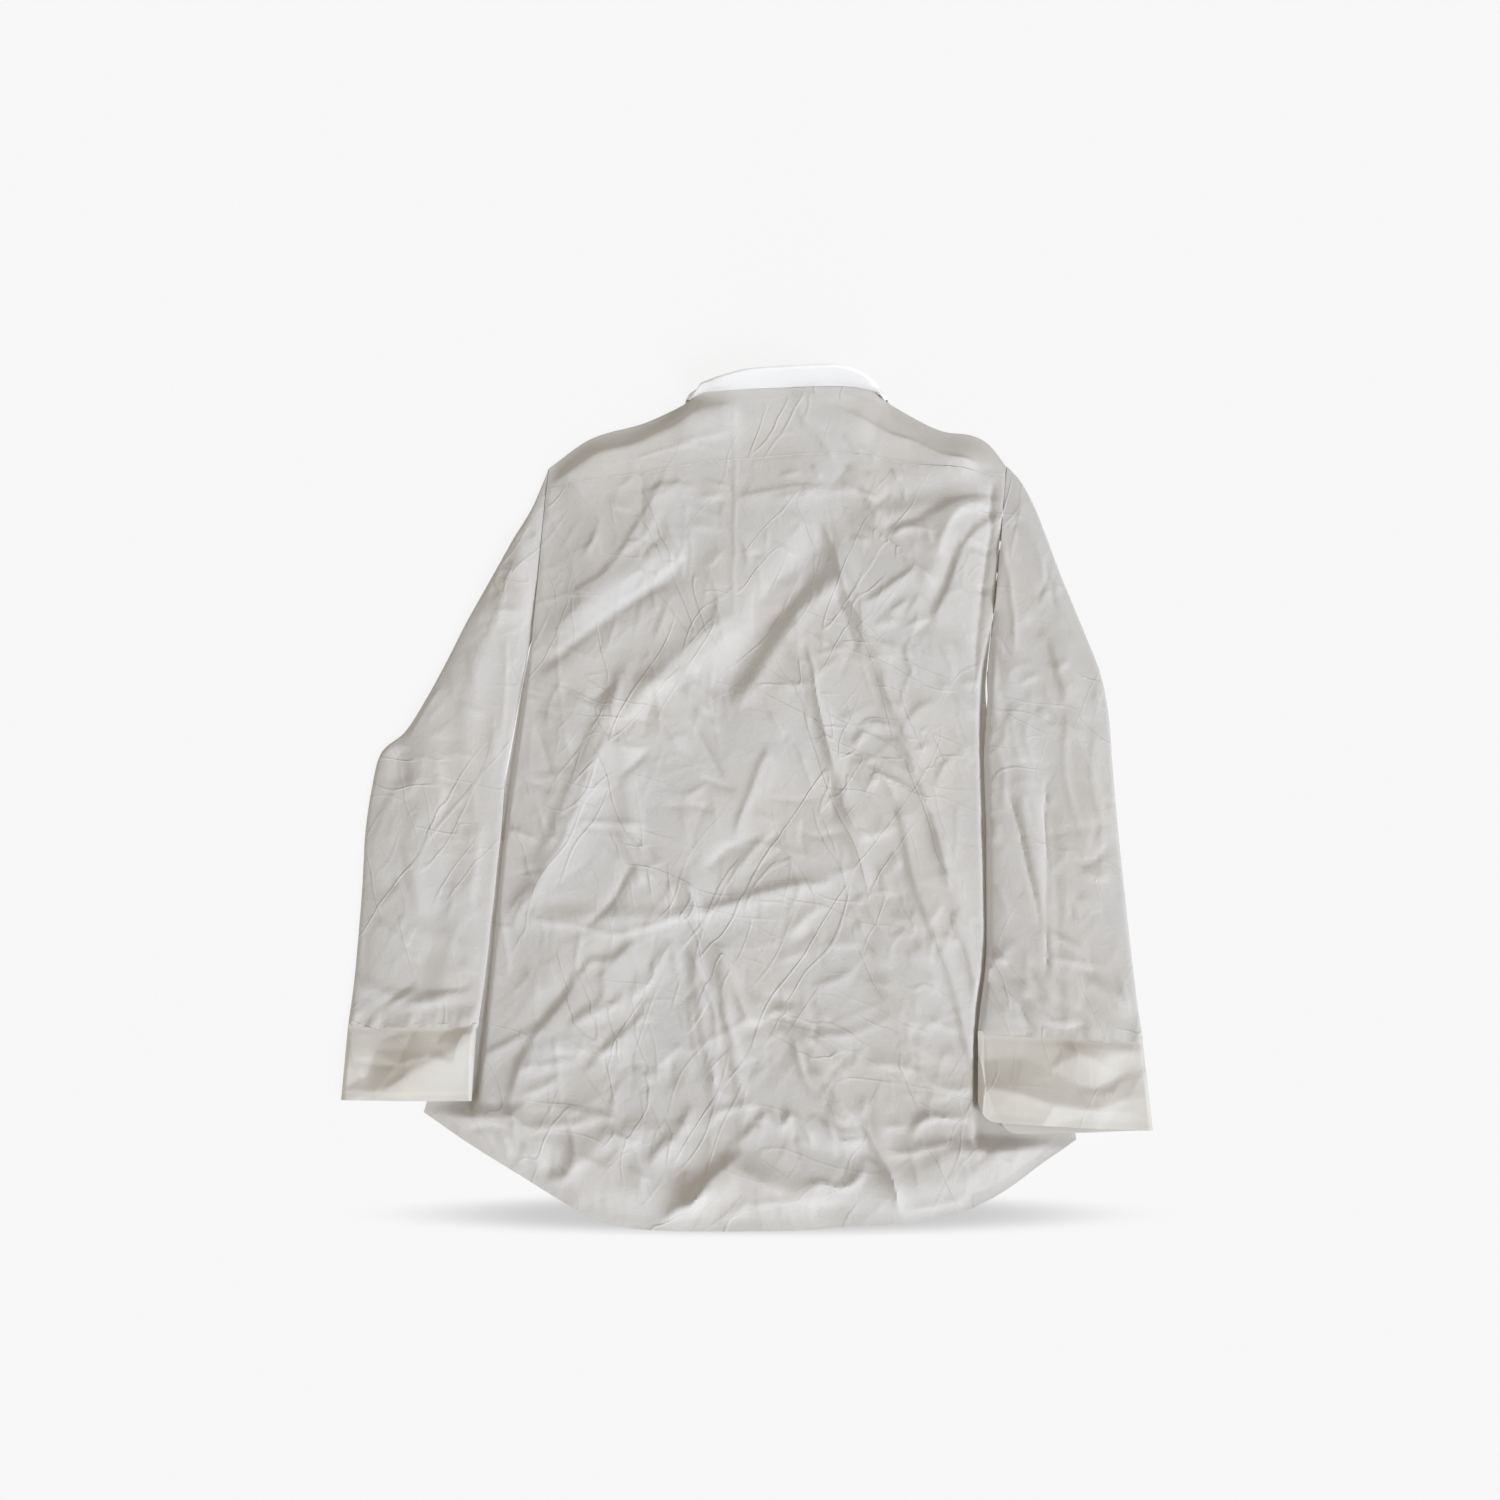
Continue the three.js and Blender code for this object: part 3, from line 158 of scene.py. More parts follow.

# ---- creases, listed one by one ------------------------------------------------------------------------
# Each row: kind, half width on the side away from the light, half width towards it, height, then x, y, x, y ...
# "r" runs along a ridge's crest, "v" along a trough's floor, "b" along a ridge's bright side, "d" along its dark one.

BODY_CREASES = [
    # upper left
    ("b", 12, 9, 3.0, -190, 110, -125, 162, -60, 215), ("d", 12, 10, 2.6, -200, 95, -140, 148, -80, 190),
    ("d", 5, 8, 1.8, -85, 300, -115, 240, -140, 200, -172, 178), ("b", 5, 5, 1.2, -140, 270, -112, 264),
    ("b", 5, 6, 1.8, -75, 255, -62, 215, -58, 195), ("v", 5, 5, -1.6, -74, 214, -62, 208),
    ("d", 4, 5, 1.0, -97, 199, -82, 196), ("d", 5, 6, 1.6, -80, 165, -90, 130), ("b", 8, 6, 1.5, -55, 246, -25, 244),
    ("v", 4, 4, -1.2, 5, 217, 18, 218), ("b", 5, 5, 1.5, 15, 210, 20, 175), ("d", 4, 5, 1.2, -8, 138, 10, 122),
    ("d", 5, 6, 1.6, 35, 145, 58, 118), ("b", 4, 4, 1.1, 45, 148, 65, 165),
    ("r", 5, 6, 2.6, 80, 250, 88, 225, 95, 190, 103, 165, 118, 135), ("v", 5, 5, -2.2, 88, 180, 98, 150, 108, 120),
    ("r", 4, 4, 1.2, 70, 113, 100, 120), ("b", 5, 5, 1.4, 108, 240, 125, 233),
    ("b", 10, 10, 2.4, -10, 150, -55, 112, -110, 45),
    ("r", 22, 12, 4.2, 95, 195, 70, 175, 40, 140, 20, 110, 5, 85, -10, 65),
    ("v", 20, 14, -3.4, 85, 205, 60, 190, 28, 155, 5, 110, -20, 70), ("d", 5, 8, 1.6, -107, 286, -78, 296, -51, 294),
    ("d", 4, 5, 1.2, -41, 302, -16, 296), ("b", 5, 5, 1.4, -48, 274, -16, 283),
    ("d", 5, 6, 1.8, -10, 283, 27, 289, 71, 296), ("r", 4, 4, 1.6, 68, 314, 78, 302),
    ("r", 4, 4, 1.4, 37, 302, 56, 307), ("d", 4, 6, 1.5, 96, 292, 112, 286), ("d", 4, 6, 1.8, 102, 314, 121, 289),
    ("b", 5, 5, 1.6, 112, 283, 134, 277), ("r", 4, 4, 1.2, 149, 311, 156, 300),
    ("b", 5, 5, 1.2, 85, 285, 115, 284, 130, 275), ("d", 4, 5, 1.5, 30, 281, 60, 288, 80, 296),
    ("r", 5, 5, 1.2, -205, 200, -210, 275), ("r", 3, 3, 0.8, -55, 248, -55, 195), ("r", 3, 3, 0.8, 22, 245, 22, 225),
    ("b", 6, 6, 1.4, -130, 215, -100, 232, -84, 262), ("d", 5, 5, 1.4, -30, 262, -8, 236, 2, 205),
    ("d", 4, 6, 1.3, -40, 198, -28, 172, -34, 150), ("b", 5, 5, 1.3, -20, 222, -36, 200),
    ("d", 5, 5, 1.4, 40, 262, 62, 246, 70, 228), ("b", 4, 4, 1.1, 30, 232, 52, 222),
    ("d", 5, 5, 1.3, -150, 246, -160, 218),
    # left middle
    ("r", 6, 16, 3.4, -129, 36, -156, -40, -182, -100, -209, -138), ("r", 7, 8, 2.4, -194, 58, -180, 42, -165, 22),
    ("r", 6, 7, 2.0, -168, 72, -151, 62, -134, 56), ("r", 7, 10, 2.2, -120, 95, -124, 60, -128, 36),
    ("v", 10, 5, -2.4, -118, -8, -105, 4, -92, 20), ("r", 5, 5, 1.4, -120, 20, -92, 21),
    ("v", 5, 6, -1.4, -114, 49, -86, 47), ("r", 6, 8, 2.8, -88, 55, -74, 42, -60, 20),
    ("r", 6, 7, 2.6, -63, 78, -47, 67, -31, 55), ("r", 5, 5, 1.8, -47, 60, -36, 48, -26, 38),
    ("v", 8, 4, -2.0, -52, 46, -36, 18, -22, -8), ("v", 6, 5, -2.2, -40, -7, -26, -13, -10, -19),
    ("v", 5, 5, -1.6, -53, -33, -30, -38), ("v", 5, 5, -1.2, -75, -34, -55, -36),
    ("r", 5, 6, 1.8, -150, -50, -122, -51, -92, -54), ("r", 8, 6, 2.7, -119, -58, -108, -78, -92, -104),
    ("v", 6, 5, -2.0, -108, -56, -95, -70, -82, -84), ("r", 5, 5, 1.5, -148, -58, -130, -75, -110, -90),
    ("r", 5, 5, 2.0, -224, -55, -208, -60, -192, -69), ("r", 5, 5, 1.7, -203, -85, -192, -106),
    ("v", 5, 5, -1.3, -200, 40, -182, -5), ("v", 5, 5, -1.4, -202, -10, -190, -15, -183, -22),
    ("v", 5, 5, -1.3, -195, -25, -177, -62), ("v", 6, 6, -1.7, -150, 68, -135, 76, -120, 88),
    ("d", 9, 8, 1.8, -62, 80, -50, 92), ("b", 9, 9, 1.8, -95, 70, -65, 85),
    # centre middle
    ("v", 8, 6, -2.2, -50, 104, -40, 90, -28, 74), ("r", 5, 5, 1.5, 30, 80, 64, 81),
    ("r", 4, 5, 3.4, 61, 120, 70, 66, 84, -2), ("v", 8, 6, -2.2, 80, -10, 83, -48),
    ("r", 6, 6, 2.2, 96, -70, 104, -82, 112, -108), ("r", 4, 5, 1.6, 24, 52, 37, 33),
    ("r", 5, 9, 2.3, 24, 20, 9, -14, -8, -62), ("r", 5, 5, 1.4, 49, 22, 56, 2, 64, -22),
    ("v", 4, 4, -1.0, 22, -29, 44, -30, 66, -29), ("r", 4, 4, 1.2, 12, -42, 28, -54),
    ("v", 6, 10, -2.2, -36, -96, -14, -75, 14, -65), ("r", 5, 5, 1.8, -10, -102, 4, -82, 20, -64),
    ("v", 5, 5, -1.6, 18, -72, 32, -60), ("v", 5, 5, -1.4, 50, -58, 66, -64, 90, -60),
    ("r", 5, 5, 2.6, 101, 20, 114, 37), ("r", 4, 5, 1.6, 90, 51, 104, 42),
    ("r", 4, 5, 2.8, 116, 46, 128, 44, 142, 38), ("v", 4, 4, -1.8, 118, 36, 130, 34, 142, 30),
    ("r", 4, 5, 3.6, 112, 2, 131, -10, 144, -16, 154, -23, 166, -33, 171, -40),
    ("r", 5, 6, 2.6, 171, -42, 179, -72, 186, -112),
    # upper right
    ("v", 14, 10, -3.2, 253, 289, 227, 287, 200, 279, 182, 268, 152, 253, 133, 252),
    ("b", 7, 7, 2.4, 250, 272, 228, 268, 210, 255, 200, 235, 195, 215),
    ("d", 7, 8, 3.0, 257, 267, 233, 252, 218, 235, 208, 213, 198, 188, 187, 163, 182, 148),
    ("b", 5, 6, 2.4, 145, 235, 158, 243, 177, 240, 185, 227),
    ("r", 6, 6, 2.2, 120, 247, 150, 225, 165, 207, 187, 188), ("d", 5, 6, 1.8, 117, 278, 130, 258),
    ("d", 5, 6, 2.2, 113, 167, 143, 188, 165, 203), ("d", 4, 5, 1.6, 140, 158, 157, 172),
    ("d", 4, 4, 1.2, 155, 153, 167, 175), ("b", 6, 6, 1.8, 127, 140, 147, 143), ("d", 8, 6, 1.8, 130, 130, 151, 124),
    ("b", 4, 4, 1.5, 158, 140, 178, 148), ("r", 5, 6, 2.0, 155, 123, 158, 102, 165, 85),
    ("d", 5, 6, 2.2, 200, 123, 217, 102, 230, 85), ("d", 4, 4, 1.2, 187, 123, 200, 92),
    ("b", 5, 5, 1.4, 208, 83, 227, 83), ("v", 6, 5, -2.4, 252, 300, 243, 230, 229, 150, 223, 92),
    ("v", 8, 8, -1.4, 236, 232, 234, 222), ("v", 8, 8, -1.4, 236, 190, 234, 180),
    # right middle
    ("r", 6, 6, 2.2, 130, 92, 136, 70, 145, 50), ("d", 5, 6, 2.0, 151, 44, 161, 59, 171, 66, 179, 70),
    ("b", 5, 5, 1.4, 186, 79, 200, 78), ("d", 5, 6, 2.0, 197, 77, 203, 64, 216, 50),
    ("r", 6, 6, 2.2, 140, 36, 152, 18, 160, -8), ("d", 5, 5, 2.2, 126, 9, 136, 1, 150, -7, 159, -14, 167, -31),
    ("b", 4, 4, 1.6, 104, 1, 121, 7), ("d", 4, 5, 2.0, 110, -24, 119, -14, 127, -13, 133, -21, 140, -36),
    ("d", 5, 7, 2.8, 140, -36, 144, -57, 147, -79, 150, -96, 154, -114, 159, -129, 166, -149, 174, -170, 181, -193,
      189, -227, 193, -247, 199, -267, 199, -289), ("d", 6, 6, 2.0, 94, -43, 109, -69),
    ("b", 5, 6, 2.0, 109, -70, 140, -60), ("b", 5, 5, 1.6, 136, -79, 146, -87), ("d", 5, 6, 1.8, 119, -91, 127, -121),
    ("b", 4, 4, 1.5, 199, 39, 209, 24, 214, 9), ("d", 4, 5, 1.8, 196, 16, 186, 5, 176, -14),
    ("d", 4, 4, 1.4, 159, 17, 176, 26), ("b", 6, 6, 1.5, 187, -60, 189, -90),
    # lower left
    ("b", 5, 5, 2.0, -197, -113, -214, -137), ("v", 7, 5, -2.4, -104, -92, -126, -129, -146, -148),
    ("b", 4, 5, 1.8, -197, -140, -183, -146, -151, -150, -117, -156, -97, -153, -79, -149, -51, -136),
    ("b", 4, 4, 1.6, -97, -93, -90, -106), ("b", 4, 4, 1.6, -67, -107, -64, -126),
    ("b", 4, 4, 1.2, -220, -137, -211, -176, -211, -190), ("b", 4, 4, 1.4, -194, -183, -179, -204),
    ("d", 5, 8, 2.9, -103, -160, -121, -174, -140, -176, -149, -189, -160, -206, -171, -220, -186, -240, -196,
      -261, -206, -293), ("d", 4, 6, 2.2, -183, -233, -200, -241, -233, -256),
    ("d", 4, 6, 1.8, -126, -189, -130, -209, -154, -229), ("r", 5, 9, 2.2, -154, -234, -130, -220, -106, -208),
    ("r", 16, 5, 2.2, -164, -250, -130, -252, -98, -250),
    ("d", 5, 6, 2.5, -90, -220, -100, -230, -123, -249, -140, -269), ("b", 4, 4, 1.6, -167, -243, -161, -254),
    ("b", 4, 4, 1.7, -97, -251, -84, -274, -74, -270), ("v", 7, 7, -2.4, -66, -256, -65, -284),
    ("d", 5, 5, 1.8, -73, -160, -90, -190), ("d", 4, 4, 1.3, -70, -176, -63, -186),
    ("b", 4, 5, 1.6, -97, -211, -80, -193), ("b", 4, 4, 1.4, -229, -281, -214, -296),
    ("b", 4, 5, 1.6, -200, -296, -161, -283), ("b", 4, 4, 1.4, -196, -274, -180, -266),
    ("d", 4, 4, 1.4, -183, -264, -154, -259),
    # lower centre
    ("r", 5, 5, 3.6, -57, -104, -49, -114, -46, -127, -41, -137),
    ("r", 5, 7, 3.4, -30, -164, -21, -174, -13, -187, -7, -204, 3, -226, 14, -230),
    ("v", 4, 4, -1.6, 1, -231, 13, -236), ("r", 4, 5, 2.6, -49, -169, -41, -187, -30, -211, -26, -232, -24, -254),
    ("r", 4, 5, 2.6, -21, -214, -14, -234, -3, -259), ("r", 3, 3, 1.2, -49, -211, -40, -271),
    ("d", 4, 5, 1.8, -34, -259, -26, -287, -13, -296), ("b", 4, 4, 1.5, -19, -257, -13, -280),
    ("d", 4, 6, 1.9, -39, -131, -3, -121, 26, -111, 61, -106, 76, -103),
    ("b", 5, 5, 2.0, 43, -154, 61, -137, 76, -129), ("v", 7, 7, -1.8, 46, -162, 62, -148),
    ("b", 3, 3, 1.2, 64, -147, 71, -161, 83, -171), ("b", 7, 6, 1.8, 71, -166, 104, -164),
    ("d", 4, 5, 1.8, 94, -184, 80, -191, 60, -197), ("b", 5, 5, 1.5, 31, -179, 57, -174),
    ("v", 6, 6, -2.0, 20, -208, 47, -214), ("r", 4, 4, 1.9, 20, -227, 30, -220, 37, -224),
    ("b", 3, 3, 1.2, 19, -241, 23, -259),
    ("r", 5, 5, 3.2, 36, -237, 43, -247, 47, -266, 54, -280, 67, -297, 78, -310, 87, -315),
    ("r", 5, 5, 3.0, 51, -240, 66, -249, 76, -260, 89, -276), ("v", 3, 4, -1.4, 47, -230, 61, -237, 83, -259),
    ("d", 4, 5, 1.6, 61, -237, 97, -236), ("d", 5, 5, 2.2, 54, -274, 69, -281, 85, -304, 102, -321),
    ("b", 4, 5, 1.6, 64, -211, 76, -227), ("d", 5, 5, 1.8, 109, -169, 126, -186),
    ("d", 4, 4, 1.4, 96, -131, 106, -154),
    # lower right
    ("d", 4, 6, 2.2, 189, -134, 190, -151, 196, -166, 200, -184, 203, -203, 207, -220),
    ("b", 4, 4, 1.3, 181, -150, 193, -160), ("b", 4, 4, 1.6, 169, -146, 181, -129),
    ("d", 4, 5, 1.7, 134, -140, 160, -151), ("b", 4, 4, 1.5, 157, -159, 169, -176),
    ("b", 4, 4, 1.4, 167, -187, 174, -201), ("b", 5, 5, 1.5, 107, -199, 133, -203),
    ("d", 5, 7, 3.0, 113, -204, 130, -217, 144, -230, 159, -243), ("d", 4, 5, 2.0, 161, -229, 176, -236, 189, -241),
    ("b", 4, 4, 1.5, 184, -250, 196, -267), ("r", 10, 4, 3.0, 109, -264, 147, -269, 161, -281, 179, -288, 199, -289),
    ("b", 4, 4, 1.4, 161, -296, 179, -296), ("b", 4, 4, 1.5, 104, -310, 109, -293),
    ("b", 4, 4, 1.8, 144, -326, 161, -313, 199, -313), ("d", 4, 4, 1.5, 144, -317, 159, -306, 183, -309),
    ("b", 4, 4, 1.4, 119, -321, 139, -320),
    # hem, left
    ("b", 5, 5, 2.2, -208, -305, -193, -315, -182, -320, -163, -318, -128, -313),
    ("d", 4, 5, 1.6, -163, -297, -138, -302, -113, -307), ("b", 4, 5, 1.6, -117, -317, -90, -328),
    ("v", 5, 4, -1.6, -240, -320, -213, -318, -200, -323), ("v", 14, 8, -3.0, -172, -350, -150, -352),
    ("b", 6, 7, 2.2, -133, -343, -163, -367), ("b", 4, 4, 1.6, -210, -322, -198, -338),
    ("b", 4, 4, 1.5, -188, -330, -172, -342), ("d", 6, 6, 2.6, -50, -300, -62, -322, -82, -343),
    ("b", 4, 4, 1.5, -97, -347, -82, -357), ("r", 7, 6, 3.6, -30, -365, -43, -375, -58, -383, -72, -395),
    ("b", 4, 4, 1.6, -50, -353, -43, -360), ("b", 7, 7, 1.8, -150, -367, -125, -387, -97, -395),
    # hem, right
    ("b", 4, 5, 1.9, -30, -321, -22, -310, -2, -302, 15, -302), ("d", 4, 6, 2.0, 20, -304, 4, -317, -7, -328),
    ("r", 4, 4, 2.4, 24, -304, 33, -317, 41, -308, 54, -321, 59, -334),
    ("r", 5, 4, 2.6, 70, -315, 80, -328, 104, -330), ("d", 4, 5, 1.8, 59, -308, 80, -319, 100, -321),
    ("r", 4, 5, 3.0, 102, -315, 111, -332, 120, -347, 126, -363, 130, -380, 135, -389),
    ("b", 4, 4, 1.5, 102, -341, 115, -347), ("b", 4, 5, 2.0, 124, -343, 157, -337, 185, -330),
    ("r", 5, 4, 2.8, 52, -364, 67, -363, 80, -367, 91, -362, 102, -352),
    ("r", 5, 7, 3.0, -4, -341, -28, -358, -50, -382), ("d", 4, 6, 2.2, -7, -350, 15, -363, 28, -371),
    ("r", 5, 4, 2.2, 6, -380, 37, -376, 50, -374), ("r", 4, 4, 1.8, 4, -378, -11, -389, -20, -397),
    ("v", 8, 8, -2.0, 54, -382, 89, -384), ("b", 4, 5, 1.8, 139, -389, 167, -384, 193, -378),
    # yoke
    ("d", 9, 16, 5.0, -191, 303, -157, 328, -116, 343, -85, 359, -48, 378, -13, 384),
    ("r", 26, 18, 3.2, -70, 366, 40, 372, 130, 358),
    ("r", 13, 5, 5.0, 52, 404, 81, 386, 118, 364, 149, 349, 174, 339, 206, 324, 234, 318),
    ("r", 3, 4, 1.3, 56, 371, 87, 324), ("r", 3, 4, 1.3, 71, 355, 93, 321), ("r", 3, 4, 1.3, 102, 349, 121, 324),
    ("r", 3, 4, 1.2, 115, 339, 134, 324), ("r", 2.5, 2.5, 0.7, -14, 384, -10, 300, -12, 150),
    ("b", 5, 5, 1.3, -69, 336, -16, 349), ("r", 3, 3, 0.8, -110, 322, -60, 338, -20, 330),
]

SLEEVE_CREASES = [
    # wearer's right
    ("b", 8, 16, 4.5, 264, 272, 256, 215, 247, 160), ("v", 5, 5, -2.0, 277, 290, 285, 282),
    ("v", 5, 5, -1.8, 269, 250, 275, 258), ("v", 9, 9, -1.8, 275, 150, 290, 136),
    ("d", 5, 6, 1.8, 293, 128, 297, 112, 301, 84, 307, 68), ("b", 5, 5, 1.5, 265, 80, 283, 90),
    ("b", 4, 4, 1.4, 301, 96, 315, 104), ("b", 4, 4, 1.4, 283, 60, 291, 50),
    ("v", 4, 4, -2.2, 246, -24, 253, -55, 258, -93, 264, -122, 266, -150),
    ("v", 4, 4, -2.2, 282, -12, 278, -60, 276, -103, 272, -141, 269, -189), ("b", 6, 6, 1.2, 235, -50, 236, -70),
    ("b", 6, 6, 1.2, 284, -16, 290, -34), ("r", 4, 4, 1.0, 290, -103, 305, -146),
    ("v", 5, 4, -1.8, 305, -91, 320, -86, 338, -74), ("b", 4, 4, 1.7, 305, -93, 320, -104, 333, -100),
    ("b", 4, 4, 1.7, 276, -150, 300, -162, 309, -174), ("b", 4, 4, 1.8, 274, -177, 319, -185),
    ("r", 4, 4, 2.6, 220, -173, 235, -177), ("v", 5, 4, -3.0, 219, -189, 243, -212, 252, -232, 274, -238, 302, -232),
    ("r", 4, 5, 3.0, 250, -212, 269, -229, 295, -229), ("r", 4, 4, 2.4, 257, -186, 274, -210),
    ("d", 5, 5, 2.0, 276, -196, 285, -208, 300, -224), ("d", 5, 5, 2.0, 314, -198, 338, -227),
    ("r", 4, 4, 1.6, 335, -189, 345, -225), ("r", 5, 5, 1.5, 250, 262, 262, 180, 262, 120),
    ("d", 6, 6, 1.4, 300, 210, 306, 170, 322, 130), ("d", 5, 6, 1.3, 330, 40, 322, -10, 330, -60),
    ("r", 4, 4, 1.2, 236, 20, 242, -10, 240, -40), ("r", 5, 5, 1.3, 306, 40, 300, -10, 312, -60),
    ("d", 4, 5, 1.2, 262, 40, 268, 0), ("b", 4, 4, 1.2, 232, -110, 242, -140), ("r", 4, 4, 1.1, 256, 230, 272, 214),
    # wearer's left
    ("b", 14, 10, 3.5, -224, 250, -217, 200, -214, 150), ("v", 5, 5, -1.6, -219, 247, -212, 243),
    ("v", 5, 5, -1.6, -238, 211, -230, 207), ("v", 5, 5, -1.6, -244, 196, -236, 193),
    ("v", 5, 5, -1.6, -251, 180, -242, 176), ("v", 5, 5, -1.6, -260, 149, -250, 146),
    ("b", 5, 5, 1.7, -240, 200, -220, 196), ("d", 4, 5, 1.7, -244, 162, -218, 160),
    ("b", 4, 4, 1.6, -229, 129, -229, 80, -228, 31), ("v", 5, 5, -2.0, -209, 102, -212, 80),
    ("r", 4, 4, 1.8, -271, 60, -249, 53), ("d", 6, 6, 2.2, -322, 31, -309, 58, -296, 82),
    ("v", 7, 7, -3.0, -336, 18, -322, 0, -320, -12), ("b", 5, 5, 2.0, -289, 20, -284, -2, -280, -20, -284, -46),
    ("d", 6, 6, 1.8, -244, 36, -240, 9), ("b", 5, 5, 1.6, -300, -6, -314, -26),
    ("b", 4, 4, 1.6, -244, -52, -246, -96, -246, -124, -238, -138),
    ("d", 6, 7, 2.0, -318, -70, -308, -96, -298, -136), ("v", 7, 7, -1.5, -324, -98, -324, -114),
    ("b", 5, 5, 2.0, -338, -136, -320, -146, -302, -160), ("d", 4, 4, 1.6, -310, -170, -294, -180),
    ("d", 5, 5, 1.8, -260, -162, -240, -178), ("b", 4, 4, 1.7, -254, -186, -232, -192),
    ("v", 6, 5, -2.2, -286, -204, -260, -202, -240, -198), ("b", 4, 4, 2.0, -316, -218, -290, -206),
    ("b", 4, 4, 1.8, -290, -218, -266, -214), ("r", 4, 4, 2.0, -272, -222, -254, -224, -236, -214),
    ("v", 5, 5, -2.0, -328, -218, -294, -196), ("d", 5, 6, 1.4, -270, 120, -262, 80),
    ("d", 5, 5, 1.3, -260, -10, -254, -50), ("b", 5, 5, 1.3, -300, -40, -306, -70),
    ("r", 4, 4, 1.2, -262, -100, -270, -140), ("d", 5, 5, 1.4, -290, 100, -280, 70),
    ("b", 5, 5, 1.2, -232, 180, -240, 140), ("d", 5, 5, 1.2, -330, -40, -332, -70),
]

CUFF_CREASES = [
    ("v", 5, 5, -1.0, 212, -235, 228, -234), ("r", 9, 5, 1.6, 283, -248, 305, -262, 324, -272),
    ("d", 5, 6, 1.6, 347, -265, 328, -277, 314, -286, 290, -286), ("b", 7, 7, 1.2, 212, -290, 260, -300, 340, -310),
    ("v", 5, 4, -1.2, -320, -244, -290, -236, -250, -240), ("v", 6, 5, -1.4, -342, -264, -320, -268, -298, -268),
    ("d", 6, 12, 2.2, -318, -290, -294, -274, -264, -256, -238, -242),
    ("r", 5, 5, 1.2, -350, -250, -343, -264, -336, -278),
]

# heights over the cuffs' plain form, at x, y: the corners of flat facets
CUFF_RELIEF_OPEN = [
    (196, -228, 0), (365, -234, 0), (196, -336, 0.5), (365, -336, 1), (204, -240, 0), (246, -241, 0),
    (284, -242, 2.4), (322, -244, 3), (350, -246, 1.5), (206, -262, 1.2), (240, -258, 0.2), (262, -270, 1.6),
    (288, -255, 5.2), (312, -260, 4.2), (334, -254, 3), (348, -262, 1.2), (207, -284, 5.4), (232, -288, 9),
    (262, -299, 8.4), (284, -280, 2), (300, -284, 1.6), (320, -278, 0), (348, -268, 0.2), (214, -302, 2),
    (240, -309, 2.2), (272, -313, 2.4), (296, -302, 5.4), (328, -292, 4.6), (350, -290, 2.8), (220, -318, 0.4),
    (250, -320, 1), (300, -322, 1.6), (350, -324, 2),
]
CUFF_RELIEF_CLOSED = [
    (-362, -222, 0), (-222, -222, 0), (-362, -308, 0), (-222, -308, 0), (-350, -236, 0.6), (-318, -240, 0.4),
    (-290, -238, 0.6), (-262, -240, 0.8), (-238, -236, 4.6), (-350, -252, 2.6), (-322, -254, 1.4), (-296, -254, 1.2),
    (-268, -250, 2.6), (-246, -246, 5.6), (-348, -268, 4), (-326, -274, 2.2), (-300, -266, 4.8), (-274, -258, 6.8),
    (-250, -262, 4.6), (-235, -258, 3), (-348, -286, 1.8), (-318, -287, 5), (-296, -280, 4.8), (-268, -284, 2.6),
    (-244, -280, 1.6), (-235, -286, 0.8), (-350, -298, 0.4), (-316, -298, 1.6), (-290, -298, 0.8), (-260, -298, 0.2),
]

TOWARD_LIGHT = np.array([0.95, -0.31])  # across the table, between the two brightest windows
EYE = (4.7, -210.4, 917.1)             # where the camera stands; the creases were set out as seen from here

# ---- sleeves: inner edge x, y; outer edge x, y; lift off the table; loft of the tube -------------------

LEFT_SLEEVE = [
    (-206.6, 127.6, -199.4, 312, 0, 2.4), (-208.4, 123, -206, 291, 0, 3.6), (-209.8, 117, -215, 266, 0, 5.2),
    (-210.4, 110, -229, 238, 0, 6.4), (-211.2, 101, -244, 206, 0, 7.2), (-212.6, 90, -258, 176, 0, 7.6),
    (-214.4, 76, -273, 143, 0.2, 7.0), (-216.6, 58, -288, 106, 0.9, 7.4), (-218.8, 37, -304, 70, 1.8, 7.4),
    (-221.6, 14, -322, 36, 2.6, 7.2), (-223.8, -8, -343, 15, ON_BODY, 7.0), (-224.2, -30, -349, -21, ON_BODY, 7.2),
    (-224.5, -60, -351, -60, ON_BODY, 7.6), (-226, -88, -350, -88, ON_BODY, 7.6),
    (-227, -115, -349, -115, ON_BODY, 7.4), (-228.5, -142, -348.6, -142, ON_BODY, 7.2),
    (-229.6, -168, -348.4, -168, 3.4, 7.0), (-230.6, -190, -348.4, -190, 4.2, 7.0),
    (-232, -210, -349, -210, 5.0, 6.4), (-233.6, -229.5, -350, -229.5, 5.3, 5.0),
    (-234.4, -234.5, -349.4, -234.5, 5.3, 2.0),
]
RIGHT_SLEEVE = [
    (233.4, 94.2, 265.0, 314, 0, 2.6), (232.9, 88, 276, 300, 0.7, 4.6), (232.4, 80, 284, 284, 1.6, 6.0),
    (231.9, 70, 292, 262, ON_BODY, 7.0), (230.6, 58, 300, 234, ON_BODY, 7.6), (229.0, 45, 309, 201, ON_BODY, 7.8),
    (227.0, 30, 320, 165, ON_BODY, 7.2), (225.2, 14, 331, 129, ON_BODY, 7.6), (224.4, -2, 341, 94, ON_BODY, 7.6),
    (224.0, -26, 345.5, 54, ON_BODY, 7.4), (223.4, -50, 345, 8, ON_BODY, 7.4), (222, -78, 344.6, -38, ON_BODY, 7.6),
    (220.5, -106, 345, -84, ON_BODY, 7.6), (219, -134, 345.6, -124, ON_BODY, 7.4),
    (217.4, -162, 346.2, -158, 3.2, 7.2), (214, -188, 347, -188, 4.0, 7.2), (209.5, -212, 348, -216, 4.8, 6.6),
    (205.6, -235.5, 349.6, -242.5, 5.3, 5.6), (205.8, -240.5, 349, -247.5, 5.3, 2.6),
]

# ---- collar: neck seam x, y, z; fold x, y, z; free edge x, y, z, with x from the neck centre -----------

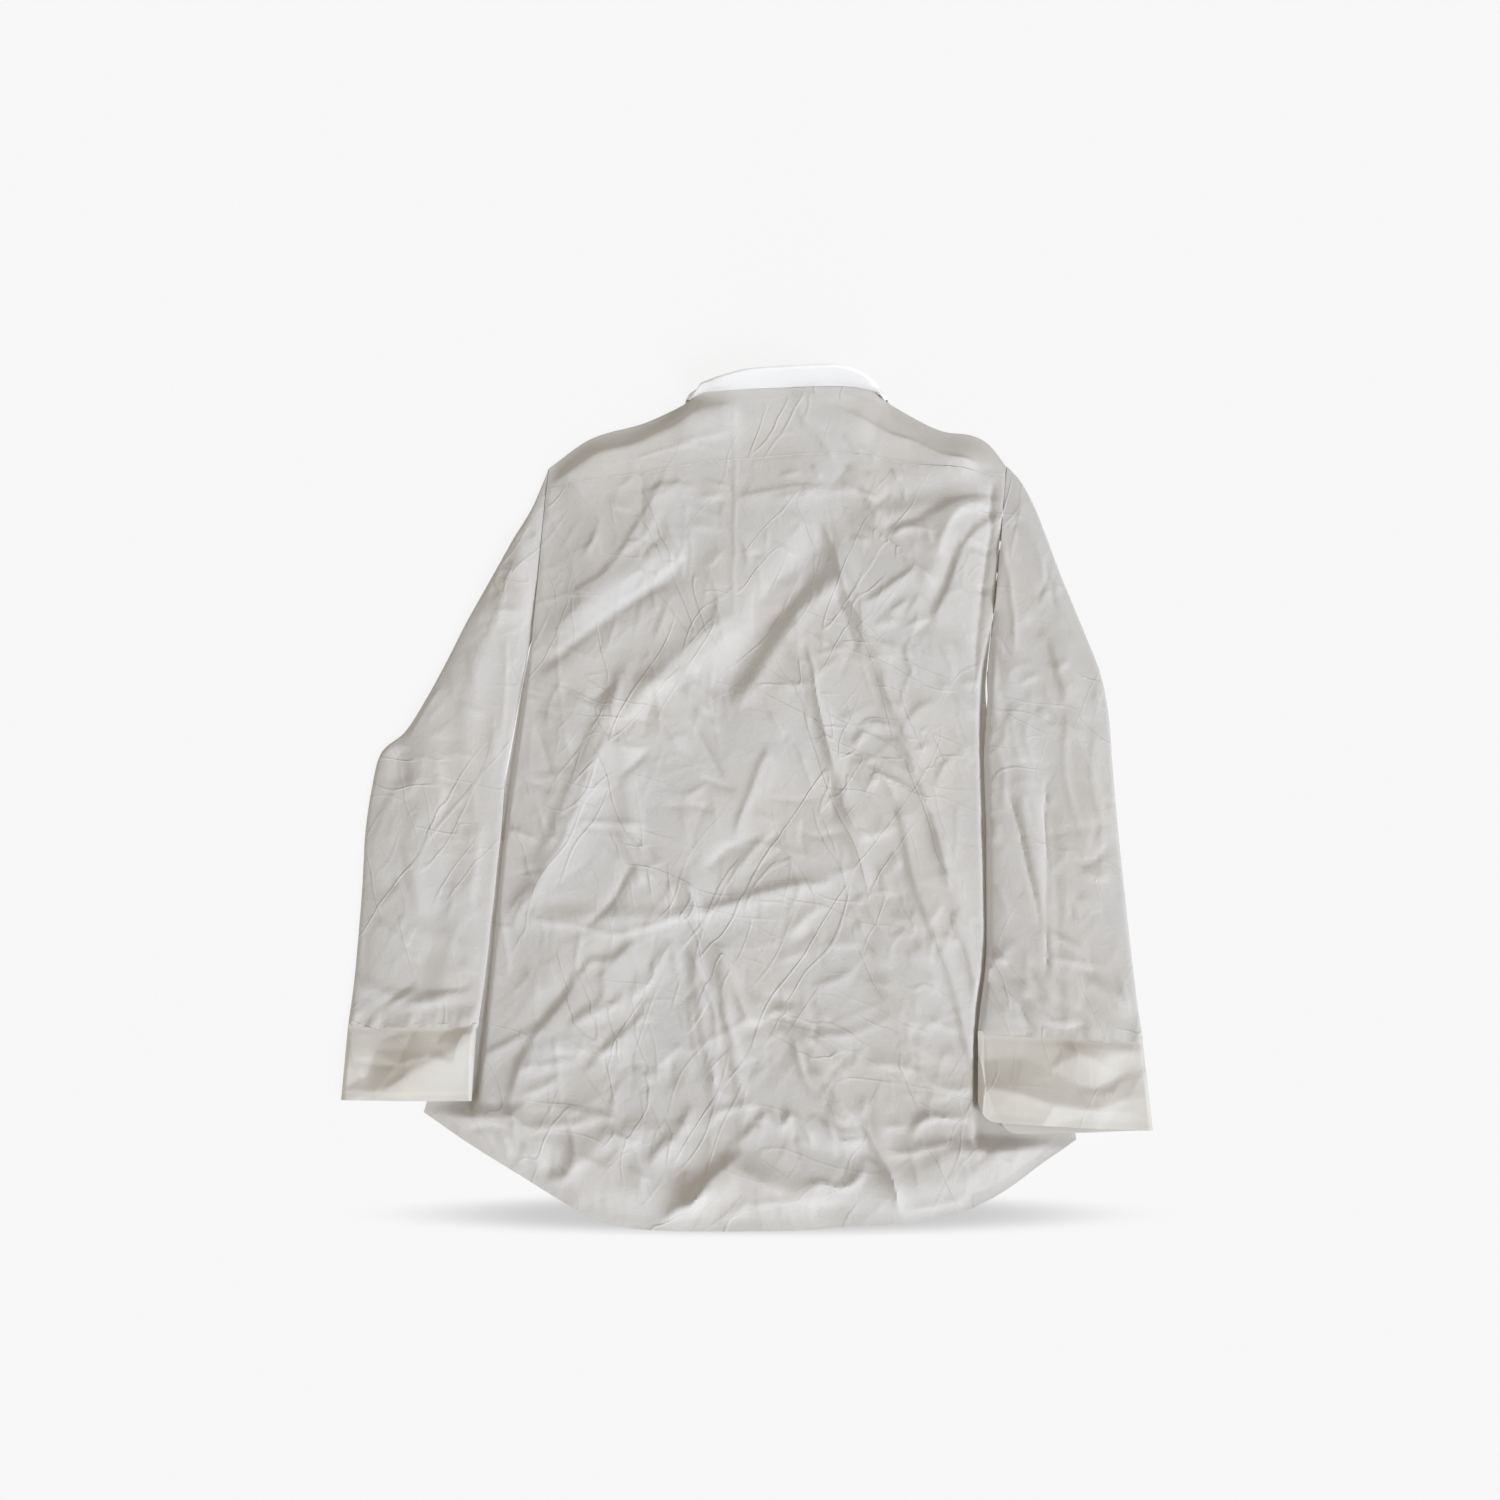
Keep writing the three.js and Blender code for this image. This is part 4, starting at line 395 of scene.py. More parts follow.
COLLAR_BACK = [
    (-93, 398, 4.8, -95, 394, 12, -100, 388, 5), (-88, 401, 7.4, -90, 395, 18, -93, 391.5, 8),
    (-80, 402.5, 9, -82, 395.5, 22, -84, 395, 9.2), (-66, 402.6, 9.2, -68, 395, 31, -70, 396, 9.8),
    (-38, 403.4, 9.2, -40, 396, 41, -41, 398, 10), (-6, 403.8, 9.2, -6, 396.5, 44.5, -6, 399.6, 10),
    (26, 404, 9.2, 26, 397, 46.5, 27, 401, 10), (52, 404, 9.2, 53, 397.5, 45, 54, 401.4, 10),
    (72, 403.2, 9.2, 74, 398, 33, 76, 399, 9.8), (84, 402.5, 8.8, 88, 397, 20, 92, 394.5, 9),
    (90.5, 400, 6.6, 95, 394, 12, 100, 388, 5.4),
]
COLLAR_FRONT = [
    (94, 396, 4.2, 97.5, 397, 7, 104, 390, 3.2), (94, 391, 2.5, 93, 402, 2.4, 106, 383, 0.6),
    (93, 381, 2.2, 84, 400.5, 1.4, 105, 369, 0.6), (86, 369, 2.2, 71, 391, 0.6, 101, 354, 0.6),
    (72, 353.6, 2.2, 57, 379, 0, 95, 337, 0), (56, 337, 2.2, 43, 365, 0, 84, 313, 0),
    (38, 325.2, 2.2, 29, 355, 0, 71, 294, 0), (22, 319.2, 2.2, 15, 349, 0, 56, 280, 0),
]


# ---- small helpers -------------------------------------------------------------------------------------

def smooth(t):
    """0 below 0, 1 above 1, and 3 t squared less 2 t cubed between."""
    t = np.clip(t, 0, 1)
    return t * t * (3 - 2 * t)


def lerp(a, b, t):
    """a where t is 0, b where t is 1, in a straight line between."""
    return a + (b - a) * t


def along(rows):
    """A smooth curve through rows of (at, value): cubic between rows, its slope at each from the rows beside it."""
    x, y = np.array(sorted(rows), float).T
    i = np.arange(len(x))
    before, after = np.maximum(i - 1, 0), np.minimum(i + 1, len(x) - 1)
    slope = (y[after] - y[before]) / (x[after] - x[before])

    def curve(at):
        k = np.clip(np.searchsorted(x, at, side="right") - 1, 0, len(x) - 2)
        span = x[k + 1] - x[k]
        t = np.clip((at - x[k]) / span, 0, 1)
        t2, t3 = t * t, t * t * t
        return ((2 * t3 - 3 * t2 + 1) * y[k] + (t3 - 2 * t2 + t) * span * slope[k]
                + (3 * t2 - 2 * t3) * y[k + 1] + (t3 - t2) * span * slope[k + 1])

    return curve


def side_of(armhole, seam_rows):
    """x of a body's side at y: the straight armhole above the armpit, the curved side seam below it."""
    seam = along(seam_rows)
    (shoulder_x, shoulder_y), (armpit_x, armpit_y) = armhole

    def side(y):
        return np.where(y < armpit_y, seam(y), lerp(armpit_x, shoulder_x, (y - armpit_y) / (shoulder_y - armpit_y)))

    return side


left_edge, right_edge = side_of(LEFT_ARMHOLE, LEFT_SEAM), side_of(RIGHT_ARMHOLE, RIGHT_SEAM)
left_cover, right_cover = along(LEFT_COVER), along(RIGHT_COVER)
hem_line, yoke_seam, upper_edge, neckline = along(HEM), along(YOKE_SEAM), along(UPPER_EDGE), along(FRONT_NECKLINE)


def centre_x(y):
    """x of the shirt's centre line, a straight line that leans from hem to neck."""
    return lerp(CENTRE_HEM_X, CENTRE_NECK_X, (y - HEM_Y) / (NECK_Y - HEM_Y))


def value_noise(x, y, cell, seed):
    """Smooth noise from -1 to 1: random heights at the corners of square cells, blended between them."""
    table = np.random.default_rng(seed).uniform(-1, 1, (64, 64))
    u, v = x / cell, y / cell
    i, j = np.floor(u).astype(int), np.floor(v).astype(int)
    s, t = smooth(u - i), smooth(v - j)
    a, b = table[i % 64, j % 64], table[(i + 1) % 64, j % 64]
    c, d = table[i % 64, (j + 1) % 64], table[(i + 1) % 64, (j + 1) % 64]
    return lerp(lerp(a, b, s), lerp(c, d, s), t)


def fold_height(folds, x, y):
    """Sum of broad folds: a bell across each two-part line, which dies away towards both of its ends."""
    total = np.zeros_like(x)
    for ax, ay, bx, by, cx, cy, width, height in folds:
        best, run = np.full(x.shape, np.inf), np.zeros(x.shape)
        for px, py, qx, qy, start in ((ax, ay, bx, by, 0.0), (bx, by, cx, cy, 0.5)):
            dx, dy = qx - px, qy - py
            t = np.clip(((x - px) * dx + (y - py) * dy) / (dx * dx + dy * dy), 0, 1)
            d = np.hypot(x - px - t * dx, y - py - t * dy)
            run = np.where(d < best, start + t / 2, run)
            best = np.minimum(d, best)
        taper = np.minimum(1, 0.35 + 4 * np.minimum(run, 1 - run))
        total += height * taper * np.exp(-((best / width) ** 2))
    return total


def at_height(points, z):
    """Points read level with the table, moved to where the eye sees them at height z."""
    eye = np.array(EYE[:2])
    return eye + (points - eye) * (1 - z / EYE[2])


def curved(points):
    """A finer line through the points: three more between each pair, on a smooth curve."""
    if len(points) < 3:
        return points
    i = np.arange(len(points), dtype=float)
    fine = np.linspace(0, len(points) - 1, 4 * (len(points) - 1) + 1)
    return np.stack([along(list(zip(i, points[:, k])))(fine) for k in (0, 1)], axis=1)


def crease_height(rows, x, y, z, gain=1.0):
    """Sum of creases whose lines are moved to height z. Across each one the height falls as
    exp(-(sqrt(d^2 + r^2) - r) / w), with w its half width on that side of the line and r a small share of it, and it
    tapers off towards both ends."""
    total = np.zeros_like(x)
    for kind, away, toward, height, *flat in rows:
        line = curved(at_height(np.array(flat, float).reshape(-1, 2), z))
        whole = line[-1] - line[0]
        normal = np.array([-whole[1], whole[0]]) / (np.hypot(*whole) + 1e-9)
        if normal @ TOWARD_LIGHT < 0:
            normal = -normal
        if kind == "b":
            away, toward = 1.7 * away, 0.75 * toward
            line = line - normal * 0.8 * toward
        elif kind == "d":
            away, toward = 0.85 * away, 1.6 * toward
            line = line + normal * 0.8 * away
        reach = 4 * max(away, toward)
        low, high = line.min(axis=0) - reach, line.max(axis=0) + reach
        near = (x > low[0]) & (x < high[0]) & (y > low[1]) & (y < high[1])
        if not near.any():
            continue
        px, py = x[near], y[near]
        best = np.full(px.shape, 1e9)
        side, run = np.zeros(px.shape), np.zeros(px.shape)
        lengths = np.hypot(*np.diff(line, axis=0).T)
        starts = np.concatenate([[0], np.cumsum(lengths)])
        for k, length in enumerate(lengths):
            if length < 1e-6:
                continue
            ax, ay = line[k]
            dx, dy = (line[k + 1] - line[k]) / length
            t = (px - ax) * dx + (py - ay) * dy
            held = np.clip(t, 0, length)
            ox, oy = px - ax - held * dx, py - ay - held * dy
            d = np.hypot(ox, oy)
            closer = d < best
            best = np.where(closer, d, best)
            side = np.where(closer, ox * normal[0] + oy * normal[1], side)
            run = np.where(closer, starts[k] + t, run)
        width = 0.68 * lerp(away, toward, smooth(0.5 + side / (away + toward)))
        round_top = width * np.clip(width / 14, 0.14, 0.9)
        ends = min(14.0, 0.35 * starts[-1])
        taper = (smooth((run + ends * 0.6) / (ends * 1.6))
                 * smooth((starts[-1] - run + ends * 0.6) / (ends * 1.6)))
        total[near] += gain * height * taper * np.exp(-(np.sqrt(best ** 2 + round_top ** 2) - round_top) / width)
    return total


def random_creases(seed, count, box, lean, lengths=(20, 90), widths=(1.8, 4.6), heights=(0.25, 1.0)):
    """Small creases strewn in a box, six in ten of them along the lean (radians from +X), the rest anyhow."""
    rng = np.random.default_rng(seed)
    rows = []
    for _ in range(count):
        x, y = rng.uniform(box[0], box[1]), rng.uniform(box[2], box[3])
        angle = rng.uniform(0, math.pi) if rng.random() < 0.4 else rng.normal(lean, 0.45)
        length = rng.uniform(*lengths) * rng.uniform(0.4, 1.0)
        bow = rng.normal(0, 0.07) * length
        dx, dy = math.cos(angle) * length / 2, math.sin(angle) * length / 2
        sign = 1 if rng.random() < 0.6 else -1
        rows.append(("r", rng.uniform(*widths), rng.uniform(*widths), sign * rng.uniform(*heights),
                     x - dx, y - dy, x - dy / length * bow * 2, y + dx / length * bow * 2, x + dx, y + dy))
    return rows


# ---- cloth heights -------------------------------------------------------------------------------------

STREWN_BODY = (random_creases(3, 230, (-225, 250, -390, 310), 1.15)
               + random_creases(5, 150, (-200, 230, -395, -120), 1.4, (14, 60), (2.4, 5.0), (0.4, 1.3))
               + random_creases(9, 40, (-180, 240, 305, 395), 2.1, (14, 46), (2.6, 4.5), (0.2, 0.8)))
STREWN_SLEEVES = (random_creases(21, 110, (-350, -222, -230, 250), 1.5, (20, 80), (3.0, 6.0), (0.3, 1.1))
                  + random_creases(22, 110, (222, 350, -240, 300), 1.6, (20, 80), (3.0, 6.0), (0.3, 1.1)))


def settled(least, spare):
    """least + spare, but eased off where spare falls below 0, so that it stays above least."""
    return least + REST * np.logaddexp(0, spare / REST)


def collar_lift(x, y):
    """How far the front layers are raised where the collar's leaf lies under them."""
    return (FUSED + LAYER_GAP + 0.25) * smooth((y - 212) / 32) * smooth((150 - np.abs(x - CENTRE_NECK_X)) / 30)


def button_lift(y):
    """Level over a button, then straight down to the table on both sides of it."""
    nearest = np.min(np.abs(BUTTON_ROWS[:, None] - np.ravel(y)), axis=0).reshape(np.shape(y))
    return BUTTON_LIFT * np.clip((BUTTON_FOOT - nearest) / (BUTTON_FOOT - BUTTON_LEVEL), 0, 1)


def fronts_top(x, y):
    """Height of the uppermost front, which the back rests on."""
    overlap = np.clip((SLOPE_FOOT - np.abs(x - centre_x(y))) / (SLOPE_FOOT - SLOPE_TOP), 0, 1)
    return PANEL + (2 * (PANEL + LAYER_GAP) + button_lift(y)) * overlap + collar_lift(x, y)


def warped(x, y):
    """The place moved by 2 or 3 mm of smooth noise, so that no crease runs quite straight."""
    return (x + 1.5 * value_noise(x, y, 24, 31) + 0.35 * value_noise(x, y, 9, 33),
            y + 1.5 * value_noise(x, y, 24, 32) + 0.35 * value_noise(x, y, 9, 34))


def border_distance(x, y, cell, seed):
    """How much farther the second nearest of a jittered grid of seeds is than the nearest: 0 on the straight borders
    between their cells."""
    jitter = np.random.default_rng(seed).uniform(0, 1, (64, 64, 2))
    i, j = np.floor(x / cell).astype(int), np.floor(y / cell).astype(int)
    first, second = np.full(x.shape, 1e9), np.full(x.shape, 1e9)
    for a in (-1, 0, 1):
        for b in (-1, 0, 1):
            seeds = jitter[(i + a) % 64, (j + b) % 64]
            d = np.hypot(x - (i + a + seeds[..., 0]) * cell, y - (j + b + seeds[..., 1]) * cell)
            second = np.minimum(second, np.maximum(first, d))
            first = np.minimum(first, d)
    return second - first


def facets(x, y):
    """Flat facets with pinched borders, some raised and some sunk, at two scales and a little longer than wide."""
    u, v = x * 0.94 + y * 0.34 + 900, (y * 0.94 - x * 0.34) * 0.66 + 900
    large = np.exp(-border_distance(u, v, 36, 41) / 5.5) * (0.3 + value_noise(x, y, 44, 43))
    small = np.exp(-border_distance(u, v, 17, 42) / 3.2) * (0.2 + value_noise(x, y, 23, 44))
    return 1.0 * large + 0.4 * small + 0.6 * value_noise(x, y, 38, 45)


def body_top(x, y, crumple):
    """Height of the upper side of yoke and back: a lofted crown that falls to sides, shoulders and hem, with the broad
    folds, the creases and the facets on it, and never lower than the fronts beneath allow."""
    # shares of the full height: from the covered sides, from the shoulders and neck, and from the hem
    side_height = lerp(SIDE_TOP, ARMHOLE_HEIGHT, smooth((y - 90) / 60))
    inside = np.minimum(x - left_cover(y), right_cover(y) - x) + 3
    past_cuff = smooth((np.where(x < 0, *CUFF_FEET) - y) / 12)
    step_share = lerp(0.55, 0.12, smooth((y - 80) / 60))
    sides = step_share * smooth(inside / SIDE_STEP) + (1 - step_share) * smooth(inside / SIDE_RAMP)
    sides = lerp(sides, 1, past_cuff)
    neck = smooth((x - NECK_LEFT_X + 14) / 28) * smooth((NECK_RIGHT_X + 14 - x) / 28)
    upper = smooth((upper_edge(x) - y) / lerp(SHOULDER_RAMP, NECK_RAMP, neck))
    lower = smooth((y - hem_line(x)) / HEM_RAMP)
    crown = (BODY_LOFT + 1.1 * np.sin(x / 41 + 0.6) * np.sin(y / 47 + 1.1) + 0.8 * np.sin(x / 23 - y / 31 + 2))
    hem_wave = 1.6 + 1.5 * np.sin(x / 19 + 0.7) * np.sin(x / 47 + 0.2)
    to_hem = lerp(SIDE_TOP + 0.2 + hem_wave * sides, lerp(side_height, crown, sides), lower)
    to_shoulder = lerp(lerp(SHOULDER_FOLD, NECK_HEIGHT, neck), to_hem, upper)

    # creases, strongest at the upper right and along the hem, and weaker strewn ones on the yoke
    wx, wy = warped(x, y)
    seam = y - yoke_seam(x)
    own = np.where(seam > 0, 0.55, 1.0)
    strong = 1.16 + 0.7 * np.exp(-(((x - 180) / 80) ** 2) - ((y - 240) / 80) ** 2) + 0.4 * smooth((-280 - y) / 30)
    fine = crumple * (strong * crease_height(BODY_CREASES, wx, wy, 12.5)
                      + own * crease_height(STREWN_BODY, wx, wy, 0) + own * facets(x, y))
    near_side = np.maximum(smooth((inside - 2) / 7), past_cuff)
    near_edge = np.maximum(smooth((upper_edge(x) - y) / 26), 0.3) * np.maximum(smooth((y - hem_line(x)) / 14), 0.5)

    # sewing: the yoke's seam steps down and puckers the back, and the hem's turn ends 8 mm up
    pucker = 0.35 * value_noise(x, y * 0.4, 6.5, 51) * np.exp(-(((seam + 3.5) / 5) ** 2))
    step = 0.35 * np.exp(-((seam / 1.6) ** 2)) * np.sign(seam)
    hem_pucker = 0.3 * value_noise(x, y * 0.3, 7, 52) * np.exp(-(((y - hem_line(x) - 8) / 5) ** 2))
    hem_fold = 0.5 * smooth((hem_line(x) + 8 - y) / 1.5) + hem_pucker

    broad = fold_height(BODY_FOLDS, x, y)
    folded = (broad * sides * upper * np.maximum(lower, 0.35) + fine * near_side * near_edge
              + (pucker + step) * near_side + hem_fold * near_side)
    least = lerp(SIDE_TOP, fronts_top(x, y) + SEAM_GAP + PANEL + 0.6, sides * upper)
    return settled(least, to_shoulder + folded - least)


def panel_points(across, up, left, right, lower, upper):
    """Places on a panel by share across and share up, found by going to and fro between its four edges."""
    y = lerp(HEM_Y, 317.0, up) + 0 * across
    for _ in range(12):
        x = lerp(left(y), right(y), across)
        y = lerp(lower(x), upper(x), up)
    return x, y


# ---- meshes --------------------------------------------------------------------------------------------

def add_mesh(name, points, faces, material, sharp=52):
    """A smooth-shaded mesh object from points in the drawing frame; edges that turn by more than sharp degrees stay
    sharp, or none of them if it is None."""
    mesh = bpy.data.meshes.new(name)
    mesh.from_pydata(((points + ORIGIN_SHIFT) * MM).tolist(), [], faces)
    mesh.shade_smooth()
    if sharp is not None:
        mesh.set_sharp_from_angle(angle=math.radians(sharp))
    mesh.materials.append(material)
    mesh.validate()
    obj = bpy.data.objects.new(name, mesh)
    bpy.context.scene.collection.objects.link(obj)
    return obj


def unit(vectors):
    """Vectors divided by their lengths."""
    return vectors / (np.linalg.norm(vectors, axis=-1, keepdims=True) + 1e-12)


def quads(rows, columns, wrap=False):
    """Corner numbers of a grid's cells, rows down and columns across; wrap joins the last column to the first."""
    i = np.arange(rows - 1)[:, None]
    j = np.arange(columns if wrap else columns - 1)[None, :]
    k = (j + 1) % columns
    corners = np.broadcast_arrays(i * columns + j, (i + 1) * columns + j, (i + 1) * columns + k, i * columns + k)
    return np.stack(corners, axis=-1).reshape(-1, 4)


def edge_ring(rows, columns):
    """Corner numbers round the edge of a grid: down its first column, along its last row, then up and back."""
    down, across = np.arange(rows - 1), np.arange(columns - 1)
    return np.concatenate([down * columns, (rows - 1) * columns + across,
                           (rows - 1 - down) * columns + columns - 1, columns - 1 - across])


def normals_of(grid, wrap=False):
    """Unit normals of a grid of points: down the rows crossed with along the columns."""
    down = np.gradient(grid, axis=0)
    if wrap:
        over = (np.roll(grid, -1, axis=1) - np.roll(grid, 1, axis=1)) / 2
    else:
        over = np.gradient(grid, axis=1)
    return unit(np.cross(down, over))


def rim(faces, count):
    """Quads that close the edge of a one-sided sheet onto its twin, whose corner numbers are count higher."""
    edge = np.stack([faces, np.roll(faces, -1, axis=1)], axis=-1).reshape(-1, 2)
    key, twin = edge[:, 0] * (2 * count) + edge[:, 1], edge[:, 1] * (2 * count) + edge[:, 0]
    open_edge = edge[~np.isin(key, twin)]
    a, b = open_edge.T
    return np.stack([b, a, a + count, b + count], axis=1)


def volume_of(points, faces):
    """Signed volume of a closed mesh of quads."""
    p = np.asarray(points)[np.asarray(faces)]
    cross = np.cross(p[:, 1], p[:, 2]) + np.cross(p[:, 2], p[:, 3])
    return float(np.einsum("ij,ij->", p[:, 0], cross)) / 6


def wall(name, grid, thickness, material, keep=None, wrap=False):
    """A closed sheet: the grid is its outer side, and the inner one lies one thickness behind along the normals. keep
    leaves cells of the grid out, and a wrapped grid is a tube, open at both ends."""
    rows, columns = grid.shape[:2]
    faces = quads(rows, columns, wrap)
    if keep is not None:
        faces = faces[np.ravel(keep)]
    outer = grid.reshape(-1, 3)
    inner = (grid - normals_of(grid, wrap) * thickness).reshape(-1, 3)
    points = np.concatenate([outer, inner])
    every = np.concatenate([faces, faces[:, ::-1] + len(outer), rim(faces, len(outer))])
    used = np.unique(every)
    place = np.zeros(len(points), dtype=int)
    place[used] = np.arange(len(used))
    points, every = points[used], place[every]
    if volume_of(points, every) < 0:
        every = every[:, ::-1]
    return add_mesh(name, points, every.tolist(), material)


def hand_over(obj, node):
    """The piece stands for its solid and rides with the shirt."""
    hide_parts(node)
    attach(obj, "root")


# ---- materials -----------------------------------------------------------------------------------------

def linear(hex_colour):
    """An sRGB hex colour as linear red, green, blue and alpha."""
    value = np.array([int(hex_colour[i:i + 2], 16) for i in (1, 3, 5)]) / 255
    return (*np.where(value <= 0.04045, value / 12.92, ((value + 0.055) / 1.055) ** 2.4), 1.0)


def add_node(tree, kind, inputs=None, **settings):
    """One node with its settings; an input is a value, or an output socket that is linked to it."""
    node = tree.nodes.new(kind)
    for key, value in settings.items():
        setattr(node, key, value)
    for key, value in (inputs or {}).items():
        if isinstance(value, bpy.types.NodeSocket):
            tree.links.new(value, node.inputs[key])
        else:
            node.inputs[key].default_value = value
    return node


def poplin(name, base, warm, roughness, wrinkle):
    """Cotton poplin, plain woven: matt, with a soft tint that drifts, fine wrinkles of 3 to 9 mm and the weave."""
    material = bpy.data.materials.new(name)
    material.use_nodes = True
    tree = material.node_tree
    shader = tree.nodes["Principled BSDF"]
    place = add_node(tree, "ShaderNodeTexCoord").outputs["Object"]
    drift = add_node(tree, "ShaderNodeTexNoise", {"Vector": place, "Scale": 9.0, "Detail": 3.0, "Roughness": 0.55})
    tint = add_node(tree, "ShaderNodeMix", {"Factor": drift.outputs["Fac"], 6: linear(base), 7: linear(warm)},
                    data_type="RGBA")
    tree.links.new(tint.outputs[2], shader.inputs["Base Color"])

    # fine sharp creases: where noise stretched along one line crosses its middle, a ridge 1 to 2 mm wide and up to
    # 100 mm long; three directions, each strong in some places and gone in others
    normal = {}
    for turn, longer, height in ((-0.5, 4.6, 0.0006), (0.42, 4.0, 0.0006), (1.25, 3.6, 0.0005)):
        stretched = add_node(tree, "ShaderNodeMapping", {
            "Vector": place, "Rotation": (0, 0, turn), "Scale": (1.0, longer, 1.0)}, vector_type="TEXTURE")
        noise = add_node(tree, "ShaderNodeTexNoise", {"Vector": stretched.outputs[0], "Scale": 56.0, "Detail": 0.0})
        away = add_node(tree, "ShaderNodeMath", {0: noise.outputs["Fac"], 1: 0.5}, operation="SUBTRACT")
        size = add_node(tree, "ShaderNodeMath", {0: away.outputs[0]}, operation="ABSOLUTE")
        slope = add_node(tree, "ShaderNodeMapRange", {
            "Value": size.outputs[0], "From Max": 0.05, "To Min": 1.0, "To Max": 0.0},
            interpolation_type="SMOOTHERSTEP")
        where = add_node(tree, "ShaderNodeTexNoise", {"Vector": stretched.outputs[0], "Scale": 21.0, "Detail": 1.0})
        some = add_node(tree, "ShaderNodeMapRange", {
            "Value": where.outputs["Fac"], "From Min": 0.5, "From Max": 0.7})
        seen = add_node(tree, "ShaderNodeMath", {0: slope.outputs["Result"], 1: some.outputs["Result"]},
                        operation="MULTIPLY")
        lines = add_node(tree, "ShaderNodeBump", {
            "Height": seen.outputs[0], "Strength": min(1.0, 1.5 * wrinkle), "Distance": height, **normal})
        normal = {"Normal": lines.outputs[0]}

    # wrinkles: noise of about 9 mm pinched into ridges, and one of 3 mm
    coarse = add_node(tree, "ShaderNodeTexNoise", {
        "Vector": place, "Scale": 95.0, "Detail": 3.0, "Roughness": 0.5, "Distortion": 0.6})
    from_middle = add_node(tree, "ShaderNodeMath", {0: coarse.outputs["Fac"], 1: 0.5}, operation="SUBTRACT")
    ridge = add_node(tree, "ShaderNodeMath", {0: from_middle.outputs[0]}, operation="ABSOLUTE")
    fine = add_node(tree, "ShaderNodeTexNoise", {"Vector": place, "Scale": 330.0, "Detail": 2.0, "Roughness": 0.5})
    # the weave's threads stand 0.2 mm apart, too fine to show, and are drawn at 0.9 mm
    threads = add_node(tree, "ShaderNodeTexWave", {"Vector": place, "Scale": 350.0, "Distortion": 1.5, "Detail": 1.0},
                       bands_direction="DIAGONAL")
    first = add_node(tree, "ShaderNodeBump", {
        "Height": ridge.outputs[0], "Strength": wrinkle, "Distance": 0.0010, **normal}, invert=True)
    second = add_node(tree, "ShaderNodeBump", {
        "Height": fine.outputs["Fac"], "Strength": wrinkle * 0.8, "Distance": 0.0004, "Normal": first.outputs[0]})
    third = add_node(tree, "ShaderNodeBump", {
        "Height": threads.outputs["Fac"], "Strength": 0.12, "Distance": 0.0001, "Normal": second.outputs[0]})
    tree.links.new(third.outputs[0], shader.inputs["Normal"])
    shader.inputs["Roughness"].default_value = roughness
    shader.inputs["Specular IOR Level"].default_value = 0.25
    shader.inputs["Sheen Weight"].default_value = 0.12
    shader.inputs["Sheen Roughness"].default_value = 0.5


def pearly_resin(name, colour):
    """Cast polyester resin buttons: glossy, with soft pearly clouds."""
    material = bpy.data.materials.new(name)
    material.use_nodes = True
    tree = material.node_tree
    shader = tree.nodes["Principled BSDF"]
    place = add_node(tree, "ShaderNodeTexCoord").outputs["Object"]
    cloud = add_node(tree, "ShaderNodeTexNoise", {"Vector": place, "Scale": 260.0, "Detail": 2.0})
    tint = add_node(tree, "ShaderNodeMix", {
        "Factor": cloud.outputs["Fac"], 6: linear(colour), 7: linear("#d8d2c4")}, data_type="RGBA")
    tree.links.new(tint.outputs[2], shader.inputs["Base Color"])
    shader.inputs["Roughness"].default_value = 0.25
    shader.inputs["IOR"].default_value = 1.54


# the collar's finish is the interlined cloth painted whiter: painted light for the bright light that the collar catches
COTTON, INTERLINED, PAINTED_LIGHT_COLLAR, RESIN = (
    "cotton poplin", "cotton poplin, interlined", "cotton poplin, collar", "pearly resin")


def finish(name):
    """The finish of that name; all four are made at the first call."""
    if COTTON not in bpy.data.materials:
        look = bpy.context.scene.shirt_look
        poplin(COTTON, look.cloth, look.cloth_warm, 0.9, 0.55)
        poplin(INTERLINED, look.cuff, look.cuff_warm, 0.86, 0.2)
        # the collar's colours are painted light, whiter than the cuffs' interlined cloth
        poplin(PAINTED_LIGHT_COLLAR, look.collar, look.lit_collar_warm, 0.84, 0.15)
        pearly_resin(RESIN, look.button)
    return bpy.data.materials[name]


# ---- pieces --------------------------------------------------------------------------------------------

def build_back(look):
    """The back: a grid by share across and up, its height from body_top, closed by an underside with cells twice as
    large: along the edge, two short sides of the top meet each long side of the underside."""
    half_rows, half_columns = 150, 128
    across, up = np.meshgrid(np.linspace(0, 1, 2 * half_columns + 1), np.linspace(1, 0, 2 * half_rows + 1))
    x, y = panel_points(across, up, left_edge, right_edge, hem_line, lambda at: yoke_seam(at) - SEAM_GAP / 6)
    z = body_top(x, y, look.crumple)
    padded = np.pad(z, 2, mode="edge")
    lowest = np.min([padded[a:a + z.shape[0], b:b + z.shape[1]] for a in range(5) for b in range(5)], axis=0)
    under = np.minimum(np.maximum(lowest - look.cloth_wall, fronts_top(x, y) + 0.25), z - 0.5)
    top = np.stack([x, y, z], axis=-1)
    below = np.stack([x, y, under], axis=-1)[::2, ::2]
    points = np.concatenate([top.reshape(-1, 3), below.reshape(-1, 3)])
    ring = edge_ring(*z.shape)
    a, b, c = ring[::2], ring[1::2], np.roll(ring, -2)[::2]
    d = edge_ring(*below.shape[:2]) + z.size
    e = np.roll(d, -1)
    faces = (quads(*z.shape).tolist() + (quads(*below.shape[:2])[:, ::-1] + z.size).tolist()
             + np.stack([b, a, d, c, b, e, b, d, e], axis=1).reshape(-1, 3).tolist())
    obj = add_mesh("back_cloth", points, faces, finish(COTTON), sharp=60)
    hand_over(obj, "back")


